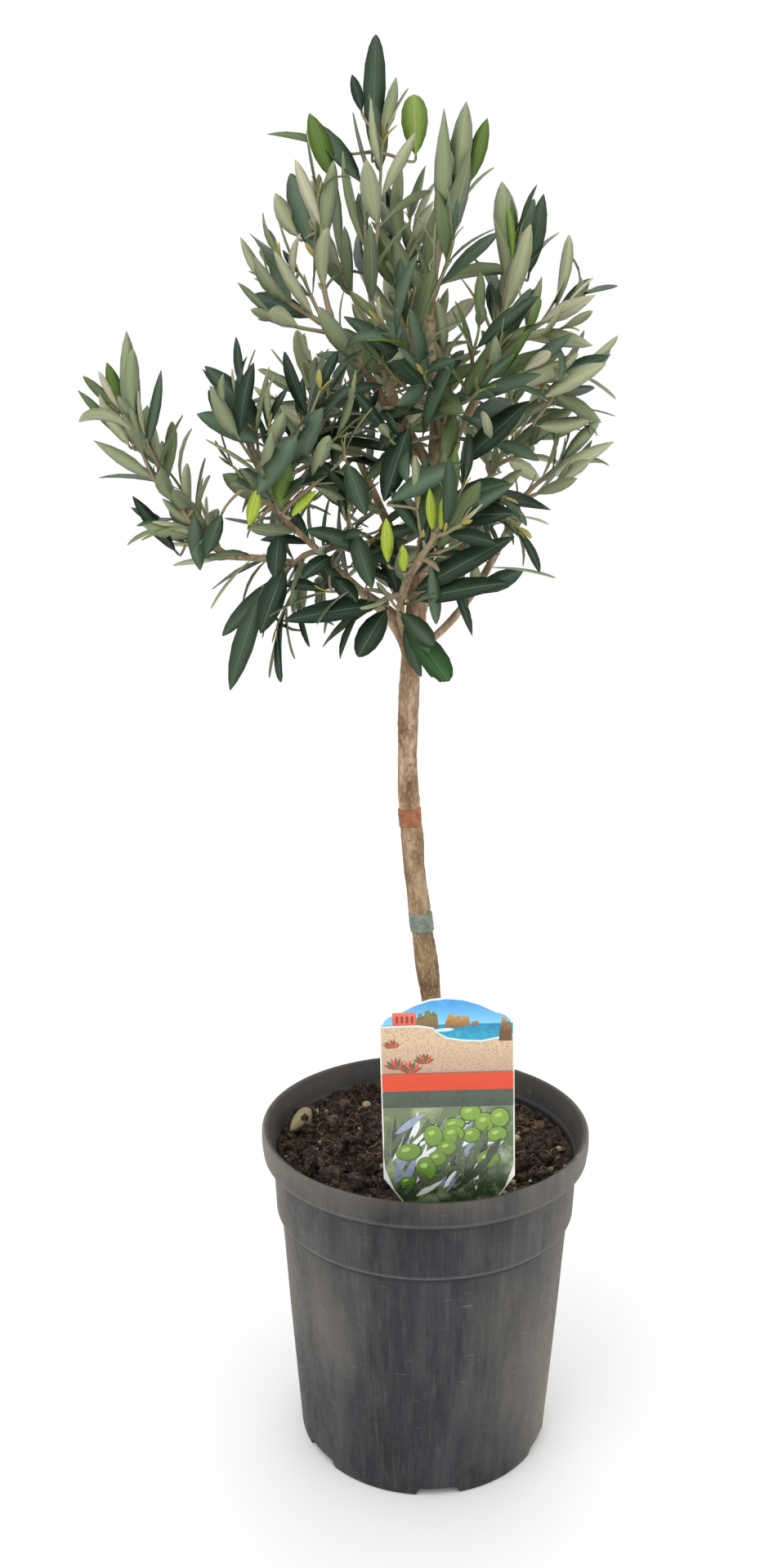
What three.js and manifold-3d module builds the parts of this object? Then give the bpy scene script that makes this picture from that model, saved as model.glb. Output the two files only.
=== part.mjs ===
// A young olive tree on a single stem, standing in a round nursery pot with a push-in plant label.
// Millimetres, +Z up. The origin is the centre of the pot's flat underside, and -Y is the front.
import * as THREE from "three";
import { mergeVertices } from "three/addons/utils/BufferGeometryUtils.js";
import Module from "manifold-3d";

const wasm = await Module();
wasm.setup();

// ---------------------------------------------------------------- driving dimensions
const GAP = 0.35; // clearance between pieces that touch in the real object

const POT = {
  height: 190,
  footRadius: 73.5,
  footChamfer: 1.5,
  shoulderHeight: 141, // the wall steps out here, so that pots stack
  shoulderRadius: 84.6,
  shoulderStep: 1.8,
  bandHeight: 15, // the thick collar round the mouth
  neckRadius: 88.4,
  bandRadius: 95,
  bandSwell: 0.8,
  wall: 2,
  floor: 7,
  edge: 1, // rounding of the collar's lip
  segments: 36,
};
// Drain channels cut across the underside, from the foot in to the radius called reach.
const DRAIN = { count: 6, first: -85, width: 25, slant: 2, height: 4.5, reach: 42 };
const SOIL = { level: 170, lump: 1.8, rings: 7, segments: 30, calm: 22 }; // calm: flat ground round the stem
const LABEL = {
  width: 69,
  shoulder: 92, // height of the straight sides
  crown: 17, // rise of the arched top over the sides
  corner: 9,
  taper: 40, // below the sides the card narrows over this height
  spikeWidth: 14,
  spikeLength: 20,
  spikeTip: 3,
  thickness: 0.8,
  x: 10.5,
  y: -75,
  base: 195, // foot of the straight sides
  lean: 2,
  roll: -1.6,
};
const STEM = {
  radius: 6.2,
  tipRadius: 5.8,
  flare: 0.62, // how much wider the foot is
  flareLength: 13,
  sides: 12,
  steps: 18,
};
// The stem leans left from its foot, stands up again, and leans right under the crown.
const STEM_PATH = [
  [12, 0, SOIL.level + GAP],
  [7, 0, 232],
  [-1.5, 0, 303],
  [-8.5, 0, 360],
  [-11, 0, 412],
  [-8.5, 0, 466],
  [-4.5, 0, 502],
];
const BANDS = [
  { name: "band_orange", low: 367, height: 10.2, proud: 0.7, colour: 0x9a5330 },
  { name: "band_green", low: 305.6, height: 11.4, proud: 0.9, colour: 0x5d8377 },
];

// Each bough runs from its foot, inside the limb it grows from, through one bend to its tip.
const BOUGH = { sides: 8, steps: 6 };
const BOUGHS = [
  { name: "leader", foot: [-4.5, 0, 500], bend: [0, 1, 535], tip: [5, 1, 574], from: 5.2, to: 3.6 },
  { name: "left_leader", foot: [3, 1, 560], bend: [-19, 3, 596], tip: [-30, 4, 650], from: 3, to: 2.3 },
  { name: "right_leader", foot: [4, 1, 566], bend: [2, 2, 600], tip: [-1, 2, 655], from: 3.2, to: 2.3 },
  { name: "upper_left", foot: [0, 0, 545], bend: [-24, -8, 594], tip: [-52, -10, 632], from: 2.8, to: 1.9 },
  { name: "upper_right", foot: [4, 0, 556], bend: [22, -2, 592], tip: [40, 0, 622], from: 3, to: 2.1 },
  { name: "left", foot: [-9, 0, 462], bend: [-31, -14, 493], tip: [-82, -34, 540], from: 3, to: 1.7 },
  { name: "far_left", foot: [-7, 2, 474], bend: [-58, -4, 507], tip: [-112, -9, 514], from: 2.7, to: 1.6 },
  { name: "right_long", foot: [-7, 0, 464], bend: [26, 4, 498], tip: [56, 9, 562], from: 2.5, to: 1.5 },
  { name: "front", foot: [-9, 0, 466], bend: [-15, -25, 494], tip: [0, -42, 522], from: 2.8, to: 1.8 },
  { name: "back_right", foot: [-5, 0, 488], bend: [16, 12, 512], tip: [38, 36, 566], from: 2.9, to: 1.9 },
  { name: "back_left", foot: [-5, 0, 494], bend: [-20, 18, 528], tip: [-44, 40, 580], from: 2.8, to: 1.9 },
];

// Each mass of leaves is a lumpy spindle from where its shoots leave the bough to its furthest leaf tip.
// slim narrows it towards the tip, and depth under 1 presses it thin from front to back.
const MASS = { sides: 10, rings: 8, lump: 0.16, blunt: 0.62, slim: 0, depth: 1, seed: 7 };
const MASSES = [
  { name: "top_left", foot: [-31, 4, 622], tip: [-29, 2, 770], girth: 25, slim: 0.42 },
  { name: "top_right", foot: [3, 2, 632], tip: [9, 0, 743], girth: 25, slim: 0.06 },
  { name: "upper_left", foot: [-48, -9, 622], tip: [-72, -8, 726], girth: 22, slim: 0.1 },
  { name: "outer_left", foot: [-56, -13, 604], tip: [-97, -16, 680], girth: 20 },
  { name: "upper_right", foot: [33, 0, 612], tip: [56, 0, 700], girth: 20, slim: 0.2 },
  { name: "right", foot: [38, -8, 590], tip: [86, -12, 664], girth: 20, slim: 0.12 },
  { name: "outer_right", foot: [44, 0, 576], tip: [96, 2, 626], girth: 18 },
  { name: "low_right", foot: [50, 10, 536], tip: [88, 14, 584], girth: 15, slim: 0.15 },
  { name: "centre_front", foot: [-6, -16, 556], tip: [-14, -46, 652], girth: 27, slim: -0.1 },
  { name: "right_front", foot: [18, -18, 562], tip: [38, -50, 634], girth: 23 },
  { name: "left", foot: [-70, -32, 534], tip: [-114, -38, 612], girth: 23, slim: -0.08 },
  { name: "inner_left", foot: [-34, -16, 540], tip: [-64, -30, 620], girth: 24 },
  { name: "far_left", foot: [-121, -10, 524], tip: [-174, -10, 626], girth: 21, depth: 0.7 },
  { name: "low_left", foot: [-98, -2, 512], tip: [-153, 0, 550], girth: 15, depth: 0.8 },
  { name: "hanging_left", foot: [-68, -22, 524], tip: [-105, -32, 445], girth: 17, slim: 0.3 },
  { name: "front", foot: [-3, -38, 512], tip: [14, -62, 560], girth: 22 },
  { name: "skirt_right", foot: [2, -36, 502], tip: [40, -66, 499], girth: 14 },
  { name: "skirt_left", foot: [-22, -26, 494], tip: [-78, -56, 484], girth: 14, slim: 0.1 },
  { name: "drop", foot: [-10, -22, 484], tip: [10, -44, 453], girth: 12 },
  { name: "side_right", foot: [14, -8, 530], tip: [54, -34, 550], girth: 17 },
  { name: "back_low", foot: [-2, 20, 520], tip: [2, 82, 520], girth: 24 },
  { name: "back_left", foot: [-40, 34, 566], tip: [-84, 66, 620], girth: 25, slim: 0.12 },
  { name: "back_right", foot: [34, 32, 556], tip: [70, 70, 600], girth: 25, slim: -0.1 },
  { name: "back", foot: [-2, 22, 586], tip: [-6, 84, 642], girth: 27 },
  { name: "back_top", foot: [-12, 22, 640], tip: [-18, 46, 712], girth: 22, slim: 0.2 },
  { name: "rear_left", foot: [-46, 10, 540], tip: [-98, 34, 562], girth: 21 },
  { name: "fork_left", foot: [-26, -14, 506], tip: [-58, -28, 546], girth: 16 },
];

const COLOURS = {
  pot: { color: 0x3d4046, roughness: 0.62 },
  soil: { color: 0x3a2b20, roughness: 0.95 },
  bark: { color: 0x93826a, roughness: 0.85 },
  foliage: { color: 0x55684f, roughness: 0.6 },
  label: { color: 0xe2562b, roughness: 0.35 },
  tape: { roughness: 0.55 },
};

// ---------------------------------------------------------------- solids
const rad = THREE.MathUtils.degToRad;
const point = ([x, y, z]) => new THREE.Vector3(x, y, z);

// A closed three.js geometry as a manifold-3d solid.
function solidOf(geometry) {
  const bare = (geometry.index ? geometry.toNonIndexed() : geometry.clone())
    .deleteAttribute("normal")
    .deleteAttribute("uv");
  const merged = mergeVertices(bare, 1e-4);
  return new wasm.Manifold(
    new wasm.Mesh({
      numProp: 3,
      vertProperties: new Float32Array(merged.attributes.position.array),
      triVerts: new Uint32Array(merged.index.array),
    }),
  );
}

// A manifold-3d solid as a flat-shaded three.js geometry.
function geometryOf(solid) {
  const mesh = solid.getMesh();
  const geometry = new THREE.BufferGeometry()
    .setAttribute("position", new THREE.BufferAttribute(mesh.vertProperties, 3))
    .setIndex(new THREE.BufferAttribute(mesh.triVerts, 1));
  geometry.computeVertexNormals();
  return geometry;
}

// The largest body that is left of a solid after cuts.
function largestBody(solid) {
  return solid.decompose().sort((a, b) => b.volume() - a.volume())[0];
}

// Moves every vertex of a geometry to where place(x, y, z) puts it.
function reshape(geometry, place) {
  const position = geometry.getAttribute("position");
  for (let i = 0; i < position.count; i++) {
    const at = place(position.getX(i), position.getY(i), position.getZ(i));
    position.setXYZ(i, at.x, at.y, at.z);
  }
  return geometry;
}

// A limb: a cylinder bent along a curve, with radiusAt(share of its length). A flat foot is cut level.
function limbGeometry(path, radiusAt, { sides, steps }, grow = 0, flatFoot = false) {
  const frames = path.computeFrenetFrames(steps, false);
  return reshape(new THREE.CylinderGeometry(1, 1, 1, sides, steps), (x, y, z) => {
    const share = THREE.MathUtils.clamp(y + 0.5, 0, 1);
    const ring = Math.round(share * steps);
    const radius = radiusAt(share) + grow;
    const at = path
      .getPointAt(share)
      .addScaledVector(frames.normals[ring], -x * radius)
      .addScaledVector(frames.binormals[ring], z * radius);
    if (ring === 0) at.addScaledVector(frames.tangents[0], -grow);
    if (ring === steps) at.addScaledVector(frames.tangents[steps], grow);
    if (flatFoot && ring === 0) at.z = STEM_PATH[0][2];
    return at;
  });
}

function stemSolid(grow = 0) {
  const path = new THREE.CatmullRomCurve3(STEM_PATH.map(point), false, "centripetal");
  const length = path.getLength();
  const radiusAt = (share) =>
    THREE.MathUtils.lerp(STEM.radius, STEM.tipRadius, share) *
    (1 + STEM.flare * Math.exp((-share * length) / STEM.flareLength));
  return solidOf(limbGeometry(path, radiusAt, STEM, grow, true));
}

function boughSolid({ foot, bend, tip, from, to }, grow = 0) {
  const path = new THREE.QuadraticBezierCurve3(point(foot), controlOf(foot, bend, tip), point(tip));
  const radiusAt = (share) => THREE.MathUtils.lerp(from, to, share);
  return solidOf(limbGeometry(path, radiusAt, BOUGH, grow));
}

// The control point that makes a quadratic curve pass through bend at its middle.
function controlOf(foot, bend, tip) {
  return point(bend).multiplyScalar(2).addScaledVector(point(foot), -0.5).addScaledVector(point(tip), -0.5);
}

// A mass of leaves: a sphere drawn out to a blunt spindle from foot to tip, with seeded lumps.
function massSolid(mass, index, grow = 0) {
  const { foot, tip, girth, slim, depth } = { ...MASS, ...mass };
  const axis = point(tip).sub(point(foot));
  const half = axis.length() / 2;
  const middle = point(foot).addScaledVector(axis, 0.5);
  const along = axis.normalize();
  const turn = new THREE.Quaternion().setFromUnitVectors(new THREE.Vector3(0, 1, 0), along);
  const phase = (k) => MASS.seed + index * 2.4 + k * 1.7;
  return solidOf(
    reshape(new THREE.SphereGeometry(1, MASS.sides, MASS.rings), (x, y, z) => {
      const round = Math.hypot(x, z);
      const around = Math.atan2(z, x);
      const lump =
        1 -
        slim * y +
        MASS.lump * Math.sin(3 * around + 2 * y + phase(1)) * Math.cos(2.6 * y + phase(2)) +
        MASS.lump * 0.7 * Math.sin(2 * around - 3.1 * y + phase(3));
      const radius = girth * Math.pow(round, MASS.blunt) * lump + grow;
      const out = new THREE.Vector3(x, 0, z).setLength(round < 1e-6 ? 0 : radius).applyQuaternion(turn);
      out.y *= depth;
      return out.addScaledVector(along, y * (half + grow)).add(middle);
    }),
  );
}

// The pot's outside radius between its foot and its shoulder.
function wallRadius(z) {
  return THREE.MathUtils.mapLinear(z, 0, POT.shoulderHeight, POT.footRadius, POT.shoulderRadius);
}

function potSolid() {
  const p = POT;
  const mouthFoot = p.height - p.bandHeight;
  const stepTop = p.shoulderHeight + p.shoulderStep;
  const stepRadius = p.shoulderRadius + p.shoulderStep;
  const outside = [
    [0, 0],
    [p.footRadius - p.footChamfer, 0],
    [wallRadius(p.footChamfer), p.footChamfer],
    [p.shoulderRadius, p.shoulderHeight],
    [stepRadius, stepTop],
    [p.neckRadius, mouthFoot],
    [p.bandRadius - p.bandSwell, mouthFoot],
    [p.bandRadius, p.height - p.bandHeight / 2],
    [p.bandRadius, p.height - p.edge],
    [p.bandRadius - p.edge, p.height],
  ];
  const inside = [
    [p.bandRadius - p.edge - p.wall, p.height],
    [p.neckRadius, mouthFoot + p.bandHeight / 2],
    [p.neckRadius - p.wall, mouthFoot],
    [stepRadius - p.wall, stepTop],
    [p.shoulderRadius - p.wall, p.shoulderHeight],
    [wallRadius(p.floor) - p.wall, p.floor],
    [0, p.floor],
  ];
  const profile = [...outside, ...inside].map(([r, z]) => new THREE.Vector2(r, z));
  const shell = solidOf(new THREE.LatheGeometry(profile, p.segments).rotateX(Math.PI / 2));
  const half = DRAIN.width / 2;
  const mouth = new THREE.Shape([
    new THREE.Vector2(-half, -1),
    new THREE.Vector2(half, -1),
    new THREE.Vector2(half - DRAIN.slant, DRAIN.height),
    new THREE.Vector2(DRAIN.slant - half, DRAIN.height),
  ]);
  const start = p.footRadius + DRAIN.width / 2; // each channel is cut from outside the foot inwards
  const channels = Array.from({ length: DRAIN.count }, (_, i) => {
    const cut = new THREE.ExtrudeGeometry(mouth, { depth: start - DRAIN.reach, bevelEnabled: false });
    cut.rotateX(Math.PI / 2).translate(0, start, 0); // now it runs along Y, standing up in Z
    cut.rotateZ(rad(DRAIN.first + (i * 360) / DRAIN.count - 90));
    return solidOf(cut);
  });
  return channels.reduce((pot, channel) => pot.subtract(channel), shell);
}

// Crumbly ground: waves of three sizes, dying away to a flat patch round the stem.
function groundHeight(x, y) {
  const [stemX, stemY] = STEM_PATH[0];
  const foot = STEM.radius * (1 + STEM.flare);
  const uneven = THREE.MathUtils.smoothstep(Math.hypot(x - stemX, y - stemY), foot, SOIL.calm);
  const waves =
    Math.sin(x * 0.071 + 1.3) * Math.cos(y * 0.064 - 0.4) +
    0.5 * Math.sin(x * 0.15 + y * 0.11 + 2) +
    0.35 * Math.cos(x * 0.09 - y * 0.19);
  return SOIL.level + SOIL.lump * waves * uneven;
}

// The compost: it fills the pot up to a rough top, with a slot where the label is pushed in.
function soilSolid() {
  const bed = POT.floor + GAP;
  const side = (z) => wallRadius(z) - POT.wall - 2 * GAP;
  const edge = side(POT.shoulderHeight) + POT.shoulderStep;
  const profile = [
    [0, bed],
    [side(bed), bed],
    [side(POT.shoulderHeight), POT.shoulderHeight],
    [edge, POT.shoulderHeight + 2 * POT.shoulderStep],
  ];
  for (let i = SOIL.rings; i >= 0; i--) profile.push([(edge * i) / SOIL.rings, SOIL.level]);
  const body = new THREE.LatheGeometry(
    profile.map(([r, z]) => new THREE.Vector2(r, z)),
    SOIL.segments,
  ).rotateX(Math.PI / 2);
  const top = SOIL.level - GAP;
  reshape(body, (x, y, z) => new THREE.Vector3(x, y, z > top ? groundHeight(x, y) : z));
  return largestBody(solidOf(body).subtract(labelSolid(GAP)));
}

// The label's outline: straight sides, an arched top with round shoulders, and a spike to push in.
function labelSolid(grow = 0) {
  const l = LABEL;
  const half = l.width / 2 + grow;
  const shape = new THREE.Shape();
  shape.moveTo(-l.spikeWidth / 2 - grow, -l.taper);
  shape.lineTo(-half, 0);
  shape.lineTo(-half, l.shoulder - l.corner);
  shape.quadraticCurveTo(-half, l.shoulder, -half + l.corner, l.shoulder + 1);
  shape.quadraticCurveTo(0, l.shoulder + l.crown, half - l.corner, l.shoulder + 1);
  shape.quadraticCurveTo(half, l.shoulder, half, l.shoulder - l.corner);
  shape.lineTo(half, 0);
  shape.lineTo(l.spikeWidth / 2 + grow, -l.taper);
  shape.lineTo(l.spikeTip / 2 + grow, -l.taper - l.spikeLength - grow);
  shape.lineTo(-l.spikeTip / 2 - grow, -l.taper - l.spikeLength - grow);
  const plate = new THREE.ExtrudeGeometry(shape, {
    depth: l.thickness + 2 * grow,
    bevelEnabled: false,
    curveSegments: 6,
  })
    .translate(0, 0, -l.thickness / 2 - grow)
    .rotateX(Math.PI / 2)
    .rotateY(rad(l.roll))
    .rotateX(rad(l.lean))
    .translate(l.x, l.y, l.base);
  return solidOf(plate);
}

// A turn of tape round the stem: a slice of a slightly thicker stem, less the stem itself.
function bandSolid({ low, height, proud }) {
  const reach = 10 * STEM.radius;
  const slice = solidOf(new THREE.BoxGeometry(reach, reach, height).translate(0, 0, low + height / 2));
  return stemSolid(proud).intersect(slice).subtract(stemSolid(GAP));
}

// ---------------------------------------------------------------- the object
const tree = new THREE.Group();
tree.name = "potted_olive_tree";

function add(name, solid, look) {
  const mesh = new THREE.Mesh(geometryOf(solid), new THREE.MeshStandardMaterial({ metalness: 0, ...look }));
  mesh.name = name;
  tree.add(mesh);
}

const stem = stemSolid();
const fatStem = stemSolid(GAP);

const masses = [];
MASSES.forEach((mass, i) => {
  const whole = massSolid(mass, i);
  const others = masses.map((m) => m.fat);
  const free = [fatStem, ...others].reduce((left, other) => left.subtract(other), whole);
  masses.push({ name: `foliage_${mass.name}`, solid: largestBody(free), fat: massSolid(mass, i, GAP) });
});

const boughs = [];
for (const bough of BOUGHS) {
  const blockers = [fatStem, ...boughs.map((b) => b.fat), ...masses.map((m) => m.fat)];
  const free = blockers.reduce((left, other) => left.subtract(other), boughSolid(bough));
  boughs.push({ name: `bough_${bough.name}`, solid: largestBody(free), fat: boughSolid(bough, GAP) });
}

add("pot", potSolid(), COLOURS.pot);
add("soil", soilSolid(), COLOURS.soil);
add("plant_label", labelSolid(), COLOURS.label);
add("trunk", stem, COLOURS.bark);
for (const band of BANDS) add(band.name, bandSolid(band), { ...COLOURS.tape, color: band.colour });
for (const bough of boughs) add(bough.name, bough.solid, COLOURS.bark);
for (const mass of masses) add(mass.name, mass.solid, COLOURS.foliage);

export default tree;
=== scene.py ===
"""A young olive tree on one slim stem, in a nursery pot of compost with a printed label pushed in.

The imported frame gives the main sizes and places. The pot, compost, label print, bark, twigs and leaves are
surfaces worked out with numpy round it, in metres, and each one rides on the frame's single body.
"""

import logging
import math
from dataclasses import dataclass, field, fields, replace
from enum import Enum
from functools import cache

import bpy
import numpy as np
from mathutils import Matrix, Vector
from mathutils.bvhtree import BVHTree


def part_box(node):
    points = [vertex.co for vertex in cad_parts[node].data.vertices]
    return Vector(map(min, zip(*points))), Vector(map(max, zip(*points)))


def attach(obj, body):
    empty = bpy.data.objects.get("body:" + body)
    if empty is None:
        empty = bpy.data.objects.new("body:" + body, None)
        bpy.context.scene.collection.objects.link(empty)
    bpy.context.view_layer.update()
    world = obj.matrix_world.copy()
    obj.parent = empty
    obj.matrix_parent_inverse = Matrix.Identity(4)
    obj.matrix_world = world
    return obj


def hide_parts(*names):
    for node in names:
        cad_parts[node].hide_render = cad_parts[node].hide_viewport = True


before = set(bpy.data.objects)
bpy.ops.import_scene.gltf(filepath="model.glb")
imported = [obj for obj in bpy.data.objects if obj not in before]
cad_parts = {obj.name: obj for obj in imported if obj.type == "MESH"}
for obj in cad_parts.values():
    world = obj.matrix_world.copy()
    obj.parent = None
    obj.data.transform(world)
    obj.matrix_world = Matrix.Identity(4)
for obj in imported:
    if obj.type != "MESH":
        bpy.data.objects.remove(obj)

Array = np.ndarray
Material = bpy.types.Material
Node = bpy.types.Node
Socket = bpy.types.NodeSocket
Tree = bpy.types.NodeTree
MM = 0.001
BODY = "root"
UP = np.array([0.0, 0.0, 1.0])
WHOLE_TURN = 2 * math.pi
ANY_TURN = 6.3  # where a random angle may lie: about a whole turn
GOLDEN_ANGLE = math.radians(137.5)
TINY = 1e-5  # metres, to step off a surface
log = logging.getLogger("olive")


# ---------------------------------------------------------------- small sums
def unit(vectors: Array) -> Array:
    """Vectors scaled to length one, along the last axis."""
    return vectors / np.maximum(np.linalg.norm(vectors, axis=-1, keepdims=True), 1e-12)


def smoothstep(low: float, high: float, values: Array) -> Array:
    """0 below low, 1 above high, and t*t*(3 - 2t) between."""
    t = np.clip((values - low) / (high - low), 0, 1)
    return t * t * (3 - 2 * t)


def lattice_noise(points: Array, size: float, seed: int = 0) -> Array:
    """Smooth noise from -1 to 1.

    A hash gives each corner of a cubic lattice a number. The eight round a point are blended by 3t^2 - 2t^3.

    Args:
        points: Places, with x, y and z on the last axis.
        size: The lattice's spacing in metres.
        seed: Picks another noise.

    Returns:
        One number for each point.
    """
    scaled = points / size
    cell = np.floor(scaled).astype(np.int64)
    t = scaled - cell
    t = t * t * (3 - 2 * t)
    total = np.zeros(points.shape[:-1])
    for corner in np.ndindex(2, 2, 2):
        at = cell + corner
        code = at[..., 0] * 73856093 ^ at[..., 1] * 19349663 ^ at[..., 2] * 83492791 ^ seed * 265443
        code = (code ^ code >> 13) * 1274126177
        value = (code >> 8 & 0xFFFF) / 32767.5 - 1
        total += value * np.prod(np.where(corner, t, 1 - t), axis=-1)
    return total


def layered_noise(points: Array, size: float, layers: int, seed: int = 0) -> Array:
    """Lattice noise of that size, plus layers of half the size and half the strength each."""
    return sum(lattice_noise(points, size / 2**k, seed + k) / 2**k for k in range(layers))


def hermite(start: Array, leave: Array, end: Array, arrive: Array, count: int) -> Array:
    """Points on the cubic that leaves start along leave and reaches end along arrive."""
    t = np.linspace(0, 1, count)[:, None]
    return (
        (2 * t**3 - 3 * t**2 + 1) * start
        + (t**3 - 2 * t**2 + t) * leave
        + (3 * t**2 - 2 * t**3) * end
        + (t**3 - t**2) * arrive
    )


def rotate(vectors: Array, axes: Array, angles: Array) -> Array:
    """Vectors turned about unit axes by angles, by Rodrigues' formula."""
    angles = np.asarray(angles)[..., None]
    along = np.sum(axes * vectors, axis=-1, keepdims=True)
    return (
        vectors * np.cos(angles)
        + np.cross(axes, vectors) * np.sin(angles)
        + axes * along * (1 - np.cos(angles))
    )


# ---------------------------------------------------------------- meshes
@dataclass
class Shape:
    """Closed surfaces.

    They are points, faces of four corners (a last corner of -1 means three), and a material slot per face.
    """

    points: Array
    faces: Array
    slots: Array

    @staticmethod
    def join(shapes: list["Shape"]) -> "Shape":
        """One shape from several, kept as separate surfaces."""
        starts = np.cumsum([0] + [len(s.points) for s in shapes[:-1]])
        faces = [np.where(s.faces < 0, -1, s.faces + k) for s, k in zip(shapes, starts)]
        return Shape(
            np.concatenate([s.points for s in shapes]),
            np.concatenate(faces),
            np.concatenate([s.slots for s in shapes]),
        )


def ring_surface(points: Array, slot: int = 0) -> Shape:
    """A closed surface through rings of points.

    Each row of the grid is a ring that closes on itself, anticlockwise about the way that the rows go.
    The first and last rings are closed by a point at their middle.

    Args:
        points: Grid of places, rows by columns by three.
        slot: The material slot of every face.

    Returns:
        The shape, facing outwards.
    """
    rows, columns = points.shape[:2]
    index = np.arange(rows * columns).reshape(rows, columns)
    turned = np.roll(index, -1, axis=1)
    walls = np.stack([index[:-1], turned[:-1], turned[1:], index[1:]], axis=-1).reshape(-1, 4)
    middle = np.full(columns, rows * columns)
    none = np.full(columns, -1)
    foot = np.stack([middle, turned[0], index[0], none], axis=-1)
    head = np.stack([middle + 1, index[-1], turned[-1], none], axis=-1)
    faces = np.concatenate([walls, foot, head])
    ends = points[[0, -1]].mean(axis=1)
    return Shape(np.concatenate([points.reshape(-1, 3), ends]), faces, np.full(len(faces), slot))


def turned_profile(profile: Array, columns: int) -> Array:
    """Rings of a profile of (radius, height) rows turned about +Z: x = r cos a, y = r sin a."""
    angle = np.linspace(0, WHOLE_TURN, columns, endpoint=False)
    radius, height = profile[:, 0, None], profile[:, 1, None]
    return np.stack([radius * np.cos(angle), radius * np.sin(angle), height + 0 * angle], axis=-1)


def tube_rings(path: Array, radii: Array, sides: int) -> Array:
    """Rings round a path: path + r (n cos a + b sin a), where n and b are square to the path at each point.

    Args:
        path: Points of the centreline, n by three.
        radii: The radius at each point, or a grid of n by sides.
        sides: Points round each ring.

    Returns:
        Grid of points, n by sides by three.
    """
    tangent = unit(np.gradient(path, axis=0))
    span = np.abs(path[-1] - path[0])
    reference = np.eye(3)[np.argmin(span)]
    normal = unit(reference - tangent * (tangent @ reference)[:, None])
    across = np.cross(tangent, normal)
    angle = np.linspace(0, WHOLE_TURN, sides, endpoint=False)[:, None]
    ring = normal[:, None] * np.cos(angle) + across[:, None] * np.sin(angle)
    radius = np.broadcast_to(np.atleast_2d(radii.T).T, (len(path), sides))
    return path[:, None] + ring * radius[..., None]


def along_path(values: Array, stations: Array, path: Array) -> Array:
    """Points of a path where a rising quantity, known at each of its points, has some values."""
    return np.stack([np.interp(values, stations, path[:, k]) for k in range(3)], axis=1)


def make_piece(name: str, shape: Shape, materials: list[Material], smooth: bool = True) -> bpy.types.Object:
    """Puts a shape into a mesh object at the origin.

    Args:
        name: The object's name.
        shape: Its points, faces and slots.
        materials: One material for each slot.
        smooth: Whether its faces are shaded smooth.

    Returns:
        The new object, linked to the scene.
    """
    mesh = bpy.data.meshes.new(name)
    totals = np.where(shape.faces[:, 3] < 0, 3, 4)
    corners = shape.faces[shape.faces >= 0]
    mesh.vertices.add(len(shape.points))
    mesh.vertices.foreach_set("co", shape.points.astype(np.float32).ravel())
    mesh.loops.add(len(corners))
    mesh.loops.foreach_set("vertex_index", corners.astype(np.int32))
    mesh.polygons.add(len(totals))
    mesh.polygons.foreach_set("loop_start", (np.cumsum(totals) - totals).astype(np.int32))
    mesh.polygons.foreach_set("material_index", shape.slots.astype(np.int32))
    mesh.polygons.foreach_set("use_smooth", np.full(len(totals), smooth))
    for material in materials:
        mesh.materials.append(material)
    mesh.update(calc_edges=True)
    piece = bpy.data.objects.new(name, mesh)
    bpy.context.scene.collection.objects.link(piece)
    return piece


def place(piece: bpy.types.Object, slot: str, *nodes: str) -> None:
    """Fixes a finished piece to the body, and hides the frame nodes it stands for."""
    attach(piece, BODY)
    if nodes:
        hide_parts(*nodes)
    log.info("%s: %d faces", piece.name, len(piece.data.polygons))


def mesh_points(mesh: bpy.types.Mesh) -> Array:
    """The places of a mesh's vertices, n by three."""
    points = np.empty(len(mesh.vertices) * 3, np.float32)
    mesh.vertices.foreach_get("co", points)
    return points.reshape(-1, 3)


def node_points(node: str) -> Array:
    """The different corner points of a frame node, in metres."""
    points = mesh_points(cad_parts[node].data)
    return np.unique(points.round(6), axis=0).astype(float)


def node_triangles(node: str) -> Array:
    """A frame node's triangles as n by three corners by three."""
    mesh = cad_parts[node].data
    mesh.calc_loop_triangles()
    corners = np.empty(len(mesh.loop_triangles) * 3, np.int32)
    mesh.loop_triangles.foreach_get("vertices", corners)
    return mesh_points(mesh)[corners].reshape(-1, 3, 3).astype(float)


# ---------------------------------------------------------------- finishes
def linear(colour: str) -> tuple[float, float, float, float]:
    """An sRGB hex colour as linear red, green, blue and alpha."""
    parts = [int(colour[k : k + 2], 16) / 255 for k in (1, 3, 5)]
    return (*[c / 12.92 if c <= 0.04045 else ((c + 0.055) / 1.055) ** 2.4 for c in parts], 1.0)


def add_node(tree: Tree, kind: str, settings: dict | None = None, links: dict | None = None) -> Node:
    """Adds a node, sets its properties and sockets, and links its inputs.

    Args:
        tree: The material's node tree.
        kind: The node's type name.
        settings: A property's name, or an input's name or number, to its value.
        links: An input's name or number to the output socket that feeds it.

    Returns:
        The new node.
    """
    node = tree.nodes.new(kind)
    for key, value in (settings or {}).items():
        if isinstance(key, str) and hasattr(node, key):
            setattr(node, key, value)
        else:
            node.inputs[key].default_value = value
    for key, output in (links or {}).items():
        tree.links.new(output, node.inputs[key])
    return node


def new_material(name: str, **settings: object) -> tuple[Material, Tree, Node]:
    """A material with one Principled shader, whose sockets are set by name with _ for a space."""
    material = bpy.data.materials.new(name)
    material.use_nodes = True
    tree = material.node_tree
    shader = tree.nodes["Principled BSDF"]
    for key, value in settings.items():
        shader.inputs[key.replace("_", " ")].default_value = value
    return material, tree, shader


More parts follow.
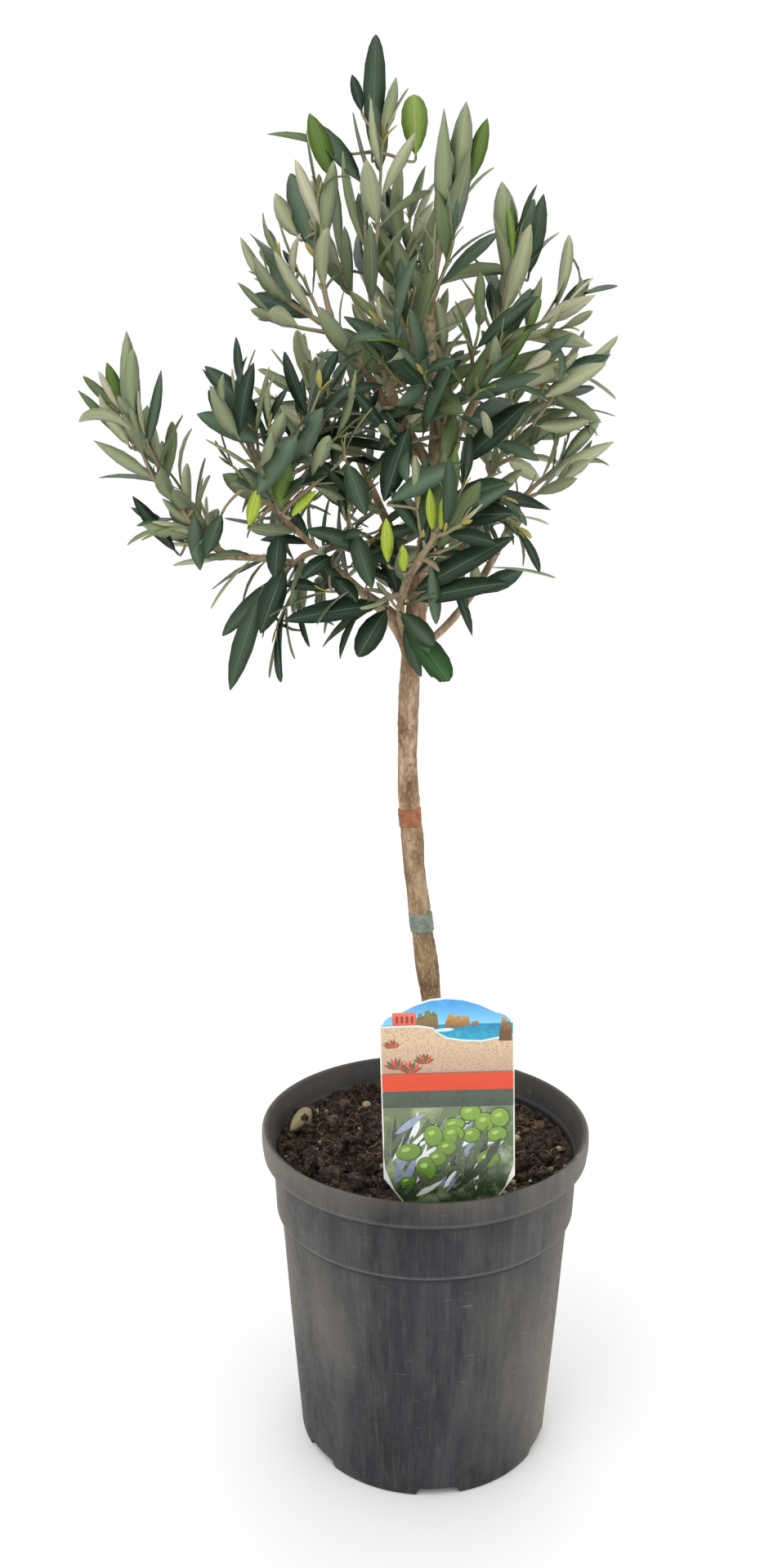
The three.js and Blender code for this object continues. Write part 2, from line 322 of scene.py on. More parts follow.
def object_pattern(tree: Tree, kind: str, scale: float, stretch: tuple, settings: dict) -> Node:
    """A texture on Object coordinates.

    Args:
        tree: The material's node tree.
        kind: The texture node's type name.
        scale: The pattern's cells in each metre.
        stretch: The scale along X, Y and Z, under 1 to draw the pattern out.
        settings: More of the node's properties or sockets.

    Returns:
        The texture node.
    """
    place_on = add_node(tree, "ShaderNodeTexCoord").outputs["Object"]
    mapping = add_node(tree, "ShaderNodeMapping", {"Scale": stretch}, {"Vector": place_on})
    return add_node(tree, kind, {"Scale": scale, **settings}, {"Vector": mapping.outputs["Vector"]})


def noise(tree: Tree, scale: float, stretch: tuple = (1, 1, 1), **settings: float) -> Socket:
    """A cloudy noise on Object coordinates: a value round 0.5."""
    return object_pattern(tree, "ShaderNodeTexNoise", scale, stretch, settings).outputs["Fac"]


def cells(tree: Tree, scale: float, stretch: tuple = (1, 1, 1)) -> Socket:
    """How far each point is from the middle of its cell, on Object coordinates."""
    return object_pattern(tree, "ShaderNodeTexVoronoi", scale, stretch, {}).outputs["Distance"]


def object_axes(tree: Tree) -> Node:
    """A node whose outputs X, Y and Z are the place on the object, in metres."""
    place_on = add_node(tree, "ShaderNodeTexCoord").outputs["Object"]
    return add_node(tree, "ShaderNodeSeparateXYZ", links={0: place_on})


def calculate(tree: Tree, operation: str, first: Socket, second: Socket | float | None = None) -> Socket:
    """The result of a sum on one value, or on a value and another or a number."""
    number = isinstance(second, float)
    settings = {"operation": operation, **({1: second} if number else {})}
    links = {0: first} if number or second is None else {0: first, 1: second}
    return add_node(tree, "ShaderNodeMath", settings, links).outputs["Value"]


def colour_ramp(tree: Tree, factor: Socket, places: tuple, colours: tuple) -> Socket:
    """The colour that a ramp gives: sRGB hex colours at places from 0 to 1."""
    ramp = add_node(tree, "ShaderNodeValToRGB", links={"Fac": factor})
    elements = ramp.color_ramp.elements
    while len(elements) < len(places):
        elements.new(0.5)
    for element, position, colour in zip(elements, places, colours):
        element.position = position
        element.color = linear(colour)
    return ramp.outputs["Color"]


def value_range(tree: Tree, value: Socket, source: tuple, target: tuple) -> Socket:
    """A value moved from one range to another, held at the ends."""
    limits = {"From Min": source[0], "From Max": source[1], "To Min": target[0], "To Max": target[1]}
    return add_node(tree, "ShaderNodeMapRange", limits, {"Value": value}).outputs["Result"]


def mix_colours(tree: Tree, factor: Socket, first: Socket, second: Socket | str) -> Socket:
    """The colour output of a mix from first to second, which may be a socket or an sRGB hex colour."""
    mix = add_node(tree, "ShaderNodeMix", {"data_type": "RGBA"}, {0: factor, 6: first})
    if isinstance(second, str):
        mix.inputs[7].default_value = linear(second)
    else:
        tree.links.new(second, mix.inputs[7])
    return mix.outputs[2]


def mix_where(tree: Tree, first: Socket, second: str, value: Socket, source: tuple, shares: tuple) -> Socket:
    """First with second mixed in: its share moves between two shares as a value moves over its source."""
    return mix_colours(tree, value_range(tree, value, source, shares), first, second)


def set_roughness(tree: Tree, shader: Node, value: Socket, source: tuple, target: tuple) -> None:
    """Makes the shader's roughness follow a value, moved from its source range to a target range."""
    tree.links.new(value_range(tree, value, source, target), shader.inputs["Roughness"])


def add_bump(tree: Tree, shader: Node, height: Socket, depth: float, strength: float = 1.0) -> None:
    """Feeds a height in patterns of that depth in metres to the shader's normal."""
    bump = add_node(tree, "ShaderNodeBump", {"Distance": depth, "Strength": strength}, {"Height": height})
    tree.links.new(bump.outputs["Normal"], shader.inputs["Normal"])


@dataclass(frozen=True)
class LeafSkin:
    """One side of an olive leaf: a plain leathery green whose fine pitting breaks up its shine."""

    name: str
    colour: str
    roughness: float
    sheen: float = 0.0

    def material(self) -> Material:
        """The leaf material: a plain base colour, with roughness and relief that follow a fine noise."""
        made, tree, shader = new_material(
            f"leaf_{self.name}",
            Base_Color=linear(self.colour),
            Sheen_Weight=self.sheen,
            Specular_IOR_Level=0.36,
        )
        pitting = noise(tree, 900, Detail=2.0)
        set_roughness(tree, shader, pitting, (0.3, 0.7), (self.roughness - 0.07, self.roughness + 0.1))
        add_bump(tree, shader, pitting, 0.12 * MM, 0.5)
        return made


class Tint(Enum):
    """The leaf and twig colours, each a skin of its own. Upper sides, then undersides, then ribs and wood."""

    # DEEP is darker than the leaves' own green, set to the darkness of the crown's inner shadow: painted
    # shade wherever it is dealt.
    DEEP = LeafSkin("upper_deep", "#203622", 0.46)
    DARK = LeafSkin("upper_dark", "#384d37", 0.46)
    SEA = LeafSkin("upper_sea", "#51674f", 0.48)
    MOSS = LeafSkin("upper_moss", "#66754d", 0.48)
    FRESH = LeafSkin("upper_fresh", "#5a7628", 0.44)
    LIME = LeafSkin("upper_lime", "#a9bb3c", 0.44)
    GLOSS = LeafSkin("upper_gloss", "#2d5424", 0.4)
    SLATE = LeafSkin("under_slate", "#6f7c5b", 0.7, 0.12)
    SAGE = LeafSkin("under_sage", "#8f9972", 0.72, 0.15)
    SILVER = LeafSkin("under_silver", "#afb48e", 0.74, 0.2)
    CREAM = LeafSkin("under_cream", "#c9c6a6", 0.74, 0.2)
    GRASS = LeafSkin("under_grass", "#7f9a45", 0.6)
    RIB = LeafSkin("rib_upper", "#4f6a4b", 0.5)
    STALK = LeafSkin("rib_under", "#a5a579", 0.6)
    BUD = LeafSkin("bud", "#b7a860", 0.6)
    TWIG = LeafSkin("twig_bark", "#988870", 0.8)
    GREENWOOD = LeafSkin("twig_green", "#8d9069", 0.7)
    DRY = LeafSkin("dry_leaf", "#9a8f6c", 0.85)


TINTS = list(Tint)
FIRST_UNDER = TINTS.index(Tint.SLATE)


@cache
def leaf_materials() -> list[Material]:
    """The materials of all tints, made once, in the order of TINTS."""
    return [tint.value.material() for tint in TINTS]


@dataclass(frozen=True)
class YoungBark:
    """Bark of a young olive: pinkish tan above and mottled ochre brown lower down, with pale flecks."""

    low: float
    high: float
    upper_colours: tuple = ("#553e2c", "#977a61", "#d6c2ab")
    lower_colours: tuple = ("#4b3827", "#836a4d", "#baa580")
    worn: str = "#8e6f50"
    fleck: str = "#c7b48a"
    scar: str = "#5d4632"
    name: str = "young_olive_bark"

    def material(self) -> Material:
        """The bark: two mottled ramps blended by height, worn patches, corky flecks and short scars."""
        made, tree, shader = new_material(self.name, Specular_IOR_Level=0.3)
        mottle = noise(tree, 120, (1, 1, 0.4), Detail=7.0, Roughness=0.72)
        patches = noise(tree, 34, (1, 1, 0.3), Detail=3.0)
        grain = noise(tree, 520, (1, 1, 0.35), Detail=3.0)
        flecks = cells(tree, 640, (1, 1, 0.45))
        scars = noise(tree, 260, (1, 1, 2.4), Detail=2.0)
        places = (0.33, 0.5, 0.67)
        upper = colour_ramp(tree, mottle, places, self.upper_colours)
        lower = colour_ramp(tree, mottle, places, self.lower_colours)
        height = value_range(tree, object_axes(tree).outputs["Z"], (self.low, self.high), (0, 1))
        colour = mix_colours(tree, height, lower, upper)
        colour = mix_where(tree, colour, self.worn, patches, (0.45, 0.7), (0, 0.55))
        colour = mix_where(tree, colour, self.fleck, flecks, (0.42, 0.1), (0, 0.42))
        colour = mix_where(tree, colour, self.scar, scars, (0.66, 0.74), (0, 0.75))
        tree.links.new(colour, shader.inputs["Base Color"])
        set_roughness(tree, shader, grain, (0.3, 0.7), (0.7, 0.95))
        add_bump(tree, shader, grain, 0.35 * MM, 0.8)
        return made


@dataclass(frozen=True)
class DustyPlastic:
    """Black moulded polypropylene gone grey: dusty streaks, a brown soil film in stains and at the rim, a
    browner tone towards its left and right sides, scratches, pale specks, and painted shade and painted
    highlights at the mouldings.
    """

    name: str = "dusty_black_polypropylene"
    base: tuple = ("#191c21", "#25282d", "#33353a")
    dust: str = "#74726e"
    film: str = "#857d71"
    film_at_rim: float = 0.13
    browner_at_sides: float = 0.24
    speck: str = "#b9b6ac"
    # painted shade and painted highlight colours for the lines at the mouldings
    painted_shade: str = "#191a1c"
    painted_highlight: str = "#77767a"
    rim_low: float = 0.17
    rim_high: float = 0.19
    shoulder: float = 141 * MM
    collar_foot: float = 175 * MM

    def painted_edge_light(self) -> list[tuple[float, float, float, str]]:
        """Painted shade just under each moulding and a painted highlight on its lip: level, half-width,
        strength and colour.
        """
        return [
            (self.shoulder - 1.5 * MM, 2.2 * MM, 0.85, self.painted_shade),
            (self.shoulder + 1.3 * MM, 1.3 * MM, 0.35, self.painted_highlight),
            (self.collar_foot - 2.0 * MM, 3.2 * MM, 0.8, self.painted_shade),
            (self.collar_foot + 1.4 * MM, 1.6 * MM, 0.25, self.painted_highlight),
        ]

    def material(self) -> Material:
        """The plastic: cloudy grey, streaks down the wall, browner towards its left and right sides and at
        the rim, and painted shade and highlight lines at the mouldings.
        """
        made, tree, shader = new_material(self.name, Specular_IOR_Level=0.38)
        cloud = noise(tree, 26, (1, 1, 0.5), Detail=5.0, Roughness=0.6)
        streaks = noise(tree, 170, (1, 1, 0.045), Detail=4.0, Roughness=0.6)
        fine = noise(tree, 700, (1, 1, 0.03), Detail=3.0)
        stain = noise(tree, 15, (1.2, 1.2, 0.5), Detail=4.0)
        scuffs = noise(tree, 230, Detail=5.0, Roughness=0.7)
        scratches = noise(tree, 420, (0.16, 0.16, 1.3), Detail=2.0)
        axes = object_axes(tree)
        colour = colour_ramp(tree, cloud, (0.3, 0.5, 0.72), self.base)
        colour = mix_where(tree, colour, self.dust, streaks, (0.46, 0.8), (0, 0.2))
        colour = mix_where(tree, colour, self.dust, fine, (0.5, 0.8), (0, 0.17))
        side = calculate(tree, "ABSOLUTE", axes.outputs["X"])
        # Browner towards the left and right sides as seen from the front, growing with the distance from the
        # middle across X.
        sides = value_range(tree, side, (0.015, 0.09), (-0.19, self.browner_at_sides))
        rim = value_range(tree, axes.outputs["Z"], (self.rim_low, self.rim_high), (0, self.film_at_rim))
        browning = calculate(tree, "ADD", calculate(tree, "ADD", sides, rim), stain)
        colour = mix_where(tree, colour, self.film, browning, (0.42, 0.92), (0, 0.75))
        dots = value_range(tree, cells(tree, 260, (1, 1, 0.8)), (0.075, 0.05), (0, 0.8))
        rare = value_range(tree, scuffs, (0.58, 0.62), (0, 1))
        colour = mix_colours(tree, calculate(tree, "MULTIPLY", dots, rare), colour, self.speck)
        colour = mix_where(tree, colour, self.speck, scratches, (0.7, 0.8), (0, 0.22))
        # Painted shade under the shoulder and collar, and painted highlights just above them.
        for level, half, strength, painted_colour in self.painted_edge_light():
            off = calculate(tree, "ABSOLUTE", calculate(tree, "SUBTRACT", axes.outputs["Z"], level))
            colour = mix_where(tree, colour, painted_colour, off, (half, 0), (0, strength))
        tree.links.new(colour, shader.inputs["Base Color"])
        set_roughness(tree, shader, scuffs, (0.3, 0.7), (0.5, 0.78))
        add_bump(tree, shader, fine, 0.12 * MM, 0.6)
        return made


@dataclass(frozen=True)
class Compost:
    """Damp peat compost: near black in the hollows, with red-brown crumbs and dry tan flecks."""

    name: str = "damp_compost"
    colours: tuple = ("#0b0806", "#251b14", "#463729", "#7d6d58")
    fleck: str = "#9c8c70"

    def material(self) -> Material:
        """The compost: four browns by a rough noise, and pale flecks at the middles of small cells."""
        made, tree, shader = new_material(self.name, Specular_IOR_Level=0.25)
        crumbs = noise(tree, 260, Detail=8.0, Roughness=0.8)
        colour = colour_ramp(tree, crumbs, (0.38, 0.48, 0.57, 0.68), self.colours)
        colour = mix_where(tree, colour, self.fleck, cells(tree, 420), (0.22, 0.1), (0, 0.5))
        tree.links.new(colour, shader.inputs["Base Color"])
        set_roughness(tree, shader, crumbs, (0.35, 0.65), (0.7, 0.98))
        add_bump(tree, shader, noise(tree, 900, Detail=4.0), 0.7 * MM)
        return made


@dataclass(frozen=True)
class Mineral:
    """A stone, chip or fibre in the compost: one colour with darker grain."""

    name: str
    light: str
    dark: str
    roughness: float = 0.85

    def material(self) -> Material:
        """The stone: light and dark blended by its grain, with a gritty relief."""
        made, tree, shader = new_material(self.name, Roughness=self.roughness)
        grain = noise(tree, 420, Detail=6.0, Roughness=0.7)
        colour = colour_ramp(tree, grain, (0.35, 0.62), (self.dark, self.light))
        tree.links.new(colour, shader.inputs["Base Color"])
        add_bump(tree, shader, grain, 0.4 * MM)
        return made


@dataclass(frozen=True)
class Tape:
    """Old adhesive tape wound on bark: matt, with its colour rubbed off in patches."""

    name: str
    colours: tuple
    rubbed: str

    def material(self) -> Material:
        """The tape: three shades by a cloudy noise, and a rubbed colour in streaks round the turn."""
        made, tree, shader = new_material(self.name, Specular_IOR_Level=0.4)
        cloud = noise(tree, 240, Detail=5.0, Roughness=0.65)
        streak = noise(tree, 330, (0.35, 0.35, 1.6), Detail=4.0)
        colour = colour_ramp(tree, cloud, (0.32, 0.5, 0.7), self.colours)
        colour = mix_where(tree, colour, self.rubbed, streak, (0.57, 0.7), (0, 0.7))
        tree.links.new(colour, shader.inputs["Base Color"])
        set_roughness(tree, shader, cloud, (0.3, 0.7), (0.4, 0.7))
        add_bump(tree, shader, streak, 0.25 * MM, 0.7)
        return made


@dataclass(frozen=True)
class PrintedInk:
    """Ink on glossy label card: a low and a high colour blended by height, with a mottle of a third."""

    name: str
    bottom: str
    top: str
    low: float = 0.0
    high: float = 1.0
    grain: str | None = None
    grain_scale: float = 500.0

    def material(self) -> Material:
        """The ink: a gradient over Object Z, a mottle, and the gloss of laminated card."""
        name = f"print_{self.name}"
        made, tree, shader = new_material(name, Roughness=0.32, Coat_Weight=0.35, Coat_Roughness=0.15)
        height = value_range(tree, object_axes(tree).outputs["Z"], (self.low, self.high), (0, 1))
        colour = colour_ramp(tree, height, (0, 1), (self.bottom, self.top))
        mottle = noise(tree, self.grain_scale, Detail=5.0, Roughness=0.7)
        colour = mix_where(tree, colour, self.grain or self.top, mottle, (0.48, 0.7), (0, 0.75))
        tree.links.new(colour, shader.inputs["Base Color"])
        return made


# ---------------------------------------------------------------- pot
@dataclass
class NurseryPot:
    """The round moulded pot: a tapered wall, a stacking shoulder, a thick collar and drain channels."""

    node: str = "pot"
    columns: int = 384
    shoulder: float = 141 * MM
    collar: float = 15 * MM
    wall: float = 2.2 * MM
    foot_radius: float = 73.5 * MM
    shoulder_radius: float = 84.6 * MM
    neck_radius: float = 88.6 * MM
    floor: float = 7 * MM
    channels: int = 6
    first_channel: float = math.radians(-85)
    channel_width: float = 25 * MM
    channel_height: float = 4.5 * MM
    channel_slant: float = 2 * MM
    sway: float = 0.35 * MM
    ripple: float = 0.05 * MM

    def __post_init__(self) -> None:
        """Takes the mouth's radius and height from the frame."""
        low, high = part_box(self.node)
        self.mouth_radius = (high.x - low.x) / 2
        self.height = high.z

    def profile(self) -> Array:
        """The pot's section, from the middle of its underside, over the rim, to its floor inside."""
        h, m, w = self.height, self.mouth_radius, self.wall
        collar_foot = h - self.collar
        outside = [
            (2 * MM, 0, 0),
            (self.foot_radius - 0.3 * MM, 0, 1.5 * MM),
            (self.shoulder_radius - 0.3 * MM, self.shoulder - 0.2 * MM, 0.3 * MM),
            (self.shoulder_radius + 2.3 * MM, self.shoulder + 0.3 * MM, 0.7 * MM),
            (self.neck_radius, collar_foot, 0.8 * MM),
            (m - 1.2 * MM, collar_foot - 0.2 * MM, 1.2 * MM),
            (m, h - self.collar * 0.45, 3 * MM),
            (m - 0.2 * MM, h, 1.4 * MM),
        ]
        inside = [
            (m - 3.2 * MM, h - 0.1 * MM, 1.1 * MM),
            (self.neck_radius, h - self.collar / 2, 2 * MM),
            (self.neck_radius - w, collar_foot, 2 * MM),
            (self.shoulder_radius + 1.8 * MM - w, self.shoulder + 2 * MM, 1 * MM),
            (self.shoulder_radius - w, self.shoulder, 1 * MM),
            (self.foot_radius - w, self.floor, 2 * MM),
            (2 * MM, self.floor, 0),
        ]
        return rounded_line(outside + inside)

    def build(self) -> None:
        """Turns the profile, lifts the foot over each drain channel and lets the wall wander a little."""
        rings = turned_profile(self.profile(), self.columns)
        x, y, z = np.moveaxis(rings, -1, 0)
        radius = np.hypot(x, y)
        angle = np.arctan2(y, x)
        pitch = WHOLE_TURN / self.channels
        off = (angle - self.first_channel + pitch / 2) % pitch - pitch / 2
        half = self.channel_width / 2
        lift = self.channel_height * smoothstep(half, half - self.channel_slant, np.abs(np.sin(off)) * radius)
        lift = lift * smoothstep(0.55, 0.6, radius / self.foot_radius)
        rim_row = np.argmax(z[:, 0])
        outer = np.arange(len(z))[:, None] < rim_row
        rings[..., 2] = np.where(outer & (z < lift), lift, z)
        sway = layered_noise(rings, 60 * MM, 2, seed=4) * self.sway
        ripple = lattice_noise(rings, 6 * MM, 9) * self.ripple
        wander = (sway + ripple) * smoothstep(0, 30 * MM, z)
        rings[..., :2] *= (1 + wander / np.maximum(radius, 20 * MM))[..., None]
        shape = ring_surface(rings)
        number = np.arange(len(shape.faces))
        inside = (number // self.columns >= rim_row) & (number < (len(rings) - 1) * self.columns)
        shape.slots = np.where(inside, 1, 0)
        outer_finish = DustyPlastic(shoulder=self.shoulder, collar_foot=self.height - self.collar)
        # The inner wall is a shaded copy of the outer finish: its dust and film colours are darkened as
        # painted shade inside the pot.
        shaded_inner_finish = replace(
            outer_finish, name="shaded_inner_wall", film="#4c463d", film_at_rim=0.3, dust="#4b4a48"
        )
        pot = make_piece("nursery_pot", shape, [outer_finish.material(), shaded_inner_finish.material()])
        place(pot, "pot_plastic", self.node)

    def inside_radius(self, height: Array | float) -> Array | float:
        """The radius of the inner wall at a height under the collar."""
        levels, radii = [self.floor, self.shoulder], [self.foot_radius, self.shoulder_radius]
        return np.interp(height, levels, radii) - self.wall


def rounded_line(corners: list[tuple[float, float, float]], spacing: float = 2.5 * MM) -> Array:
    """A line through (radius, height, rounding) corners, each rounded by a parabola."""
    points: list[Array] = [np.array(corners[0][:2])]
    for (x0, y0, _), (x1, y1, rounding), (x2, y2, _) in zip(corners, corners[1:], corners[2:]):
        corner = np.array([x1, y1])
        before, after = np.array([x0, y0]) - corner, np.array([x2, y2]) - corner
        reach = min(rounding, 0.45 * np.linalg.norm(before), 0.45 * np.linalg.norm(after))
        start, end = corner + unit(before) * reach, corner + unit(after) * reach
        t = np.linspace(0, 1, 6 if rounding else 1)[:, None]
        points += straight(points[-1], start, spacing)
        points += list(start * (1 - t) ** 2 + corner * 2 * t * (1 - t) + end * t**2)[1 if rounding else 0 :]
    points += straight(points[-1], np.array(corners[-1][:2]), spacing)
    return np.array(points)


def straight(start: Array, end: Array, spacing: float) -> list[Array]:
    """Points from start, left out, to end, kept, about that far apart."""
    count = max(1, round(float(np.linalg.norm(end - start)) / spacing))
    return [start + (end - start) * k / count for k in range(1, count + 1)]


# ---------------------------------------------------------------- compost
@dataclass
class CompostBed:
    """The rough top of the compost, with clods, stones, bark chips and root fibres lying on it."""

    pot: NurseryPot
    node: str = "soil"
    rings: int = 158
    columns: int = 600
    skirt: float = 16 * MM
    bare_ring: float = 9 * MM
    seed: int = 11
    wave: tuple = (44 * MM, 2.4 * MM)
    clod: tuple = (13 * MM, 3.6 * MM)
    lump: tuple = (5.5 * MM, 2.2 * MM)
    crumb: tuple = (2.4 * MM, 1.5 * MM)
    grit: tuple = (1.2 * MM, 0.4 * MM)

    def __post_init__(self) -> None:
        """Takes the level from the frame, and the edge from the pot's inner wall."""
        foot = node_points("trunk")
        self.level = foot[:, 2].min() + 0.5 * MM
        self.edge = self.pot.neck_radius - self.pot.wall - 0.5 * MM
        self.stem = foot[foot[:, 2] < self.level + 1 * MM].mean(axis=0)[:2]

    def ground(self, x: Array, y: Array) -> Array:
        """The height of the ground: broad waves, clods with sharp clefts between them, crumbs and grit.

        It is level round the stem and banks up towards the wall, most of all on the left, where it is
        coarsest. Each of its layers is a noise with a size and a height.
        """
        flat = np.stack([x, y, 0 * x], axis=-1)
        calm = smoothstep(5 * MM, 28 * MM, np.hypot(x - self.stem[0], y - self.stem[1]))
        coarse = 0.75 + 0.8 * smoothstep(30 * MM, -40 * MM, x)
        broad = lattice_noise(flat, self.wave[0], 21) * self.wave[1]
        bank = smoothstep(52 * MM, 86 * MM, np.hypot(x, y)) * (2.6 * MM - x * 0.018)
        warped = flat + np.stack([lattice_noise(flat, 5 * MM, k) for k in (31, 32, 33)], axis=-1) * 1.6 * MM
        clods = np.sqrt(np.abs(lattice_noise(warped, self.clod[0], 5))) * self.clod[1]
        lumps = np.sqrt(np.abs(lattice_noise(warped, self.lump[0], 8))) * self.lump[1]
        crumbs = np.abs(lattice_noise(warped, self.crumb[0], 13)) * self.crumb[1]
        grit = lattice_noise(flat, self.grit[0], 17) * self.grit[1]
        rough = (clods + lumps + (crumbs + grit) - self.clod[1]) * coarse * (0.3 + 0.7 * calm)
        return self.level + broad * calm + bank + rough

    def build(self) -> None:
        """Makes the ground, then everything that lies on it."""
        shares = np.linspace(0.012, 1, self.rings)
        angle = np.linspace(0, WHOLE_TURN, self.columns, endpoint=False)
        x = self.edge * shares[:, None] * np.cos(angle)
        y = self.edge * shares[:, None] * np.sin(angle)
        top = np.stack([x, y, self.ground(x, y)], axis=-1)[::-1]
        base = self.level - self.skirt
        reach = self.pot.inside_radius(base) / self.edge
        wall = np.stack([x[-1] * reach, y[-1] * reach, np.full_like(angle, base)], axis=-1)
        under = wall * [0.02, 0.02, 1]
        bed = ring_surface(np.concatenate([[under, wall], top]))
        place(make_piece("compost", bed, [Compost().material()]), "compost", self.node)
        self.scatter()

    def lumps(
        self,
        count: int,
        sizes: tuple[float, float],
        flatness: float,
        slot: int,
        rng: np.random.Generator,
        limit: float = 1.0,
    ) -> Shape:
        """Rough stones lying on the ground: spheres pressed flat and made uneven by noise.

        Args:
            count: How many.
            sizes: The smallest and largest radius.
            flatness: Their height as a share of their width.
            slot: Their material slot.
            rng: The seeded random numbers.
            limit: How far to the right they may lie.

        Returns:
            All of them as one shape.
        """
        latitude = np.linspace(0, math.pi, 7)[1:-1]
        profile = np.stack([np.sin(latitude), -np.cos(latitude)], axis=-1)
        ball = turned_profile(profile, 8)
        made = []
        for k in range(count):
            radius = sizes[0] + (sizes[1] - sizes[0]) * rng.random() ** 2.2
            reach = (self.edge - radius - 1.5 * MM) * math.sqrt(rng.uniform(0.02, 1))
            turn = rng.uniform(0, WHOLE_TURN)
            x, y = reach * math.cos(turn), reach * math.sin(turn)
            if x > limit or math.hypot(x - self.stem[0], y - self.stem[1]) < self.bare_ring + radius:
                continue
            dents = 0.4 * lattice_noise(ball + 7.3 * k, 0.8, slot)
            uneven = 1 + dents + 0.25 * lattice_noise(ball + 3.1 * k, 0.35, k)
            stone = ball * uneven[..., None] * radius * np.array([1, rng.uniform(0.6, 1), flatness])
            axis = unit(rng.normal(size=3) * [1, 1, 0.3])
            stone = rotate(stone, axis, np.full(stone.shape[:2], rng.normal(0, 0.5)))
            stone = rotate(stone, UP, np.full(stone.shape[:2], rng.uniform(0, ANY_TURN)))
            ground = float(self.ground(np.array(x), np.array(y)))
            made.append(ring_surface(stone + [x, y, ground + radius * flatness * 0.5], slot))
        return Shape.join(made)

    def fibres(self, count: int, rng: np.random.Generator, steps: int = 9) -> Shape:
        """Root fibres lying on the ground: thin tubes along curving lines that follow its height."""
        made = []
        for _ in range(count):
            length = rng.uniform(6, 22) * MM
            turn, bend = rng.uniform(0, ANY_TURN), rng.normal(0, 1.5)
            reach = (self.edge - 12 * MM) * math.sqrt(rng.uniform(0.03, 1))
            start = rng.uniform(0, ANY_TURN)
            along = np.linspace(-0.5, 0.5, steps)
            heading = turn + bend * along
            x = reach * math.cos(start) + np.cumsum(np.cos(heading)) * length / steps
            y = reach * math.sin(start) + np.cumsum(np.sin(heading)) * length / steps
            z = self.ground(x, y) + (0.7 + rng.uniform(0, 1.6) * (0.25 - along**2) * 4) * MM
            inside = np.hypot(x, y).max() < self.edge - 1 * MM
            if inside and np.hypot(x - self.stem[0], y - self.stem[1]).min() > 11 * MM:
                radii = np.full(steps, rng.uniform(0.18, 0.42) * MM)
                made.append(ring_surface(tube_rings(np.stack([x, y, z], axis=-1), radii, 5)))
        return Shape.join(made)

    def scatter(self) -> None:
        """Lays out the clods, stones, chips, fibres and the leaf, from one seed. Radii are in millimetres."""
        rng = np.random.default_rng(self.seed)

        def group(*kinds: tuple) -> Shape:
            """Lumps of several kinds: count, smallest, largest, flatness, slot, and a limit if one is set."""
            return Shape.join(
                [
                    self.lumps(count, (low * MM, high * MM), flatness, slot, rng, *limit)
                    for count, low, high, flatness, slot, *limit in kinds
                ]
            )

        clods = group((520, 0.9, 3.4, 0.8, 0), (90, 2, 7, 0.75, 0), (110, 3.4, 8.5, 0.85, 0, -18 * MM))
        stones = group((52, 0.9, 3.4, 0.75, 0), (26, 0.8, 2.4, 0.6, 1), (12, 0.7, 1.5, 0.8, 2))
        minerals = [
            Mineral("sandy_stone", "#b3a27c", "#7d6b4c"),
            Mineral("grey_stone", "#8d8474", "#575045"),
            Mineral("white_perlite", "#d9d4c4", "#a9a290"),
        ]
        chips = group((90, 1.8, 5.2, 0.22, 0))
        fibres = self.fibres(150, rng)
        for name, shape, finishes in [
            ("compost_clods", clods, [Compost("crumbly_clod")]),
            ("compost_stones", stones, minerals),
            ("bark_chips", chips, [Mineral("bark_chip", "#6b5138", "#3b2a1c")]),
            ("root_fibres", fibres, [Mineral("root_fibre", "#8d7355", "#5a4430")]),
        ]:
            materials = [finish.material() for finish in finishes]
            place(make_piece(name, shape, materials, smooth=name != "compost_clods"), "compost")
        place(make_piece("fallen_leaf", self.fallen_leaf().shape(), leaf_materials()), "compost")

    def fallen_leaf(self) -> "Leaves":
        """One dry leaf, curled up, lying against the wall on the left."""
        dry = np.array([TINTS.index(Tint.DRY)])
        base = np.array([-0.08, 0.008, self.level + 8 * MM])
        tip = np.array([-0.066, 0.02, self.level + 17 * MM])
        along = unit(tip - base)[None]
        size = np.linalg.norm(tip - base) * 1.1
        return Leaves(
            base=base[None],
            along=along,
            face=unit(square_to(np.array([[0.2, -0.9, 0.5]]), along)),
            length=np.array([size]),
            width=np.array([size * 0.5]),
            bend=np.array([0.6]),
            twist=np.array([0.3]),
            point=np.array([0.7]),
            upper=dry,
            under=dry,
        )


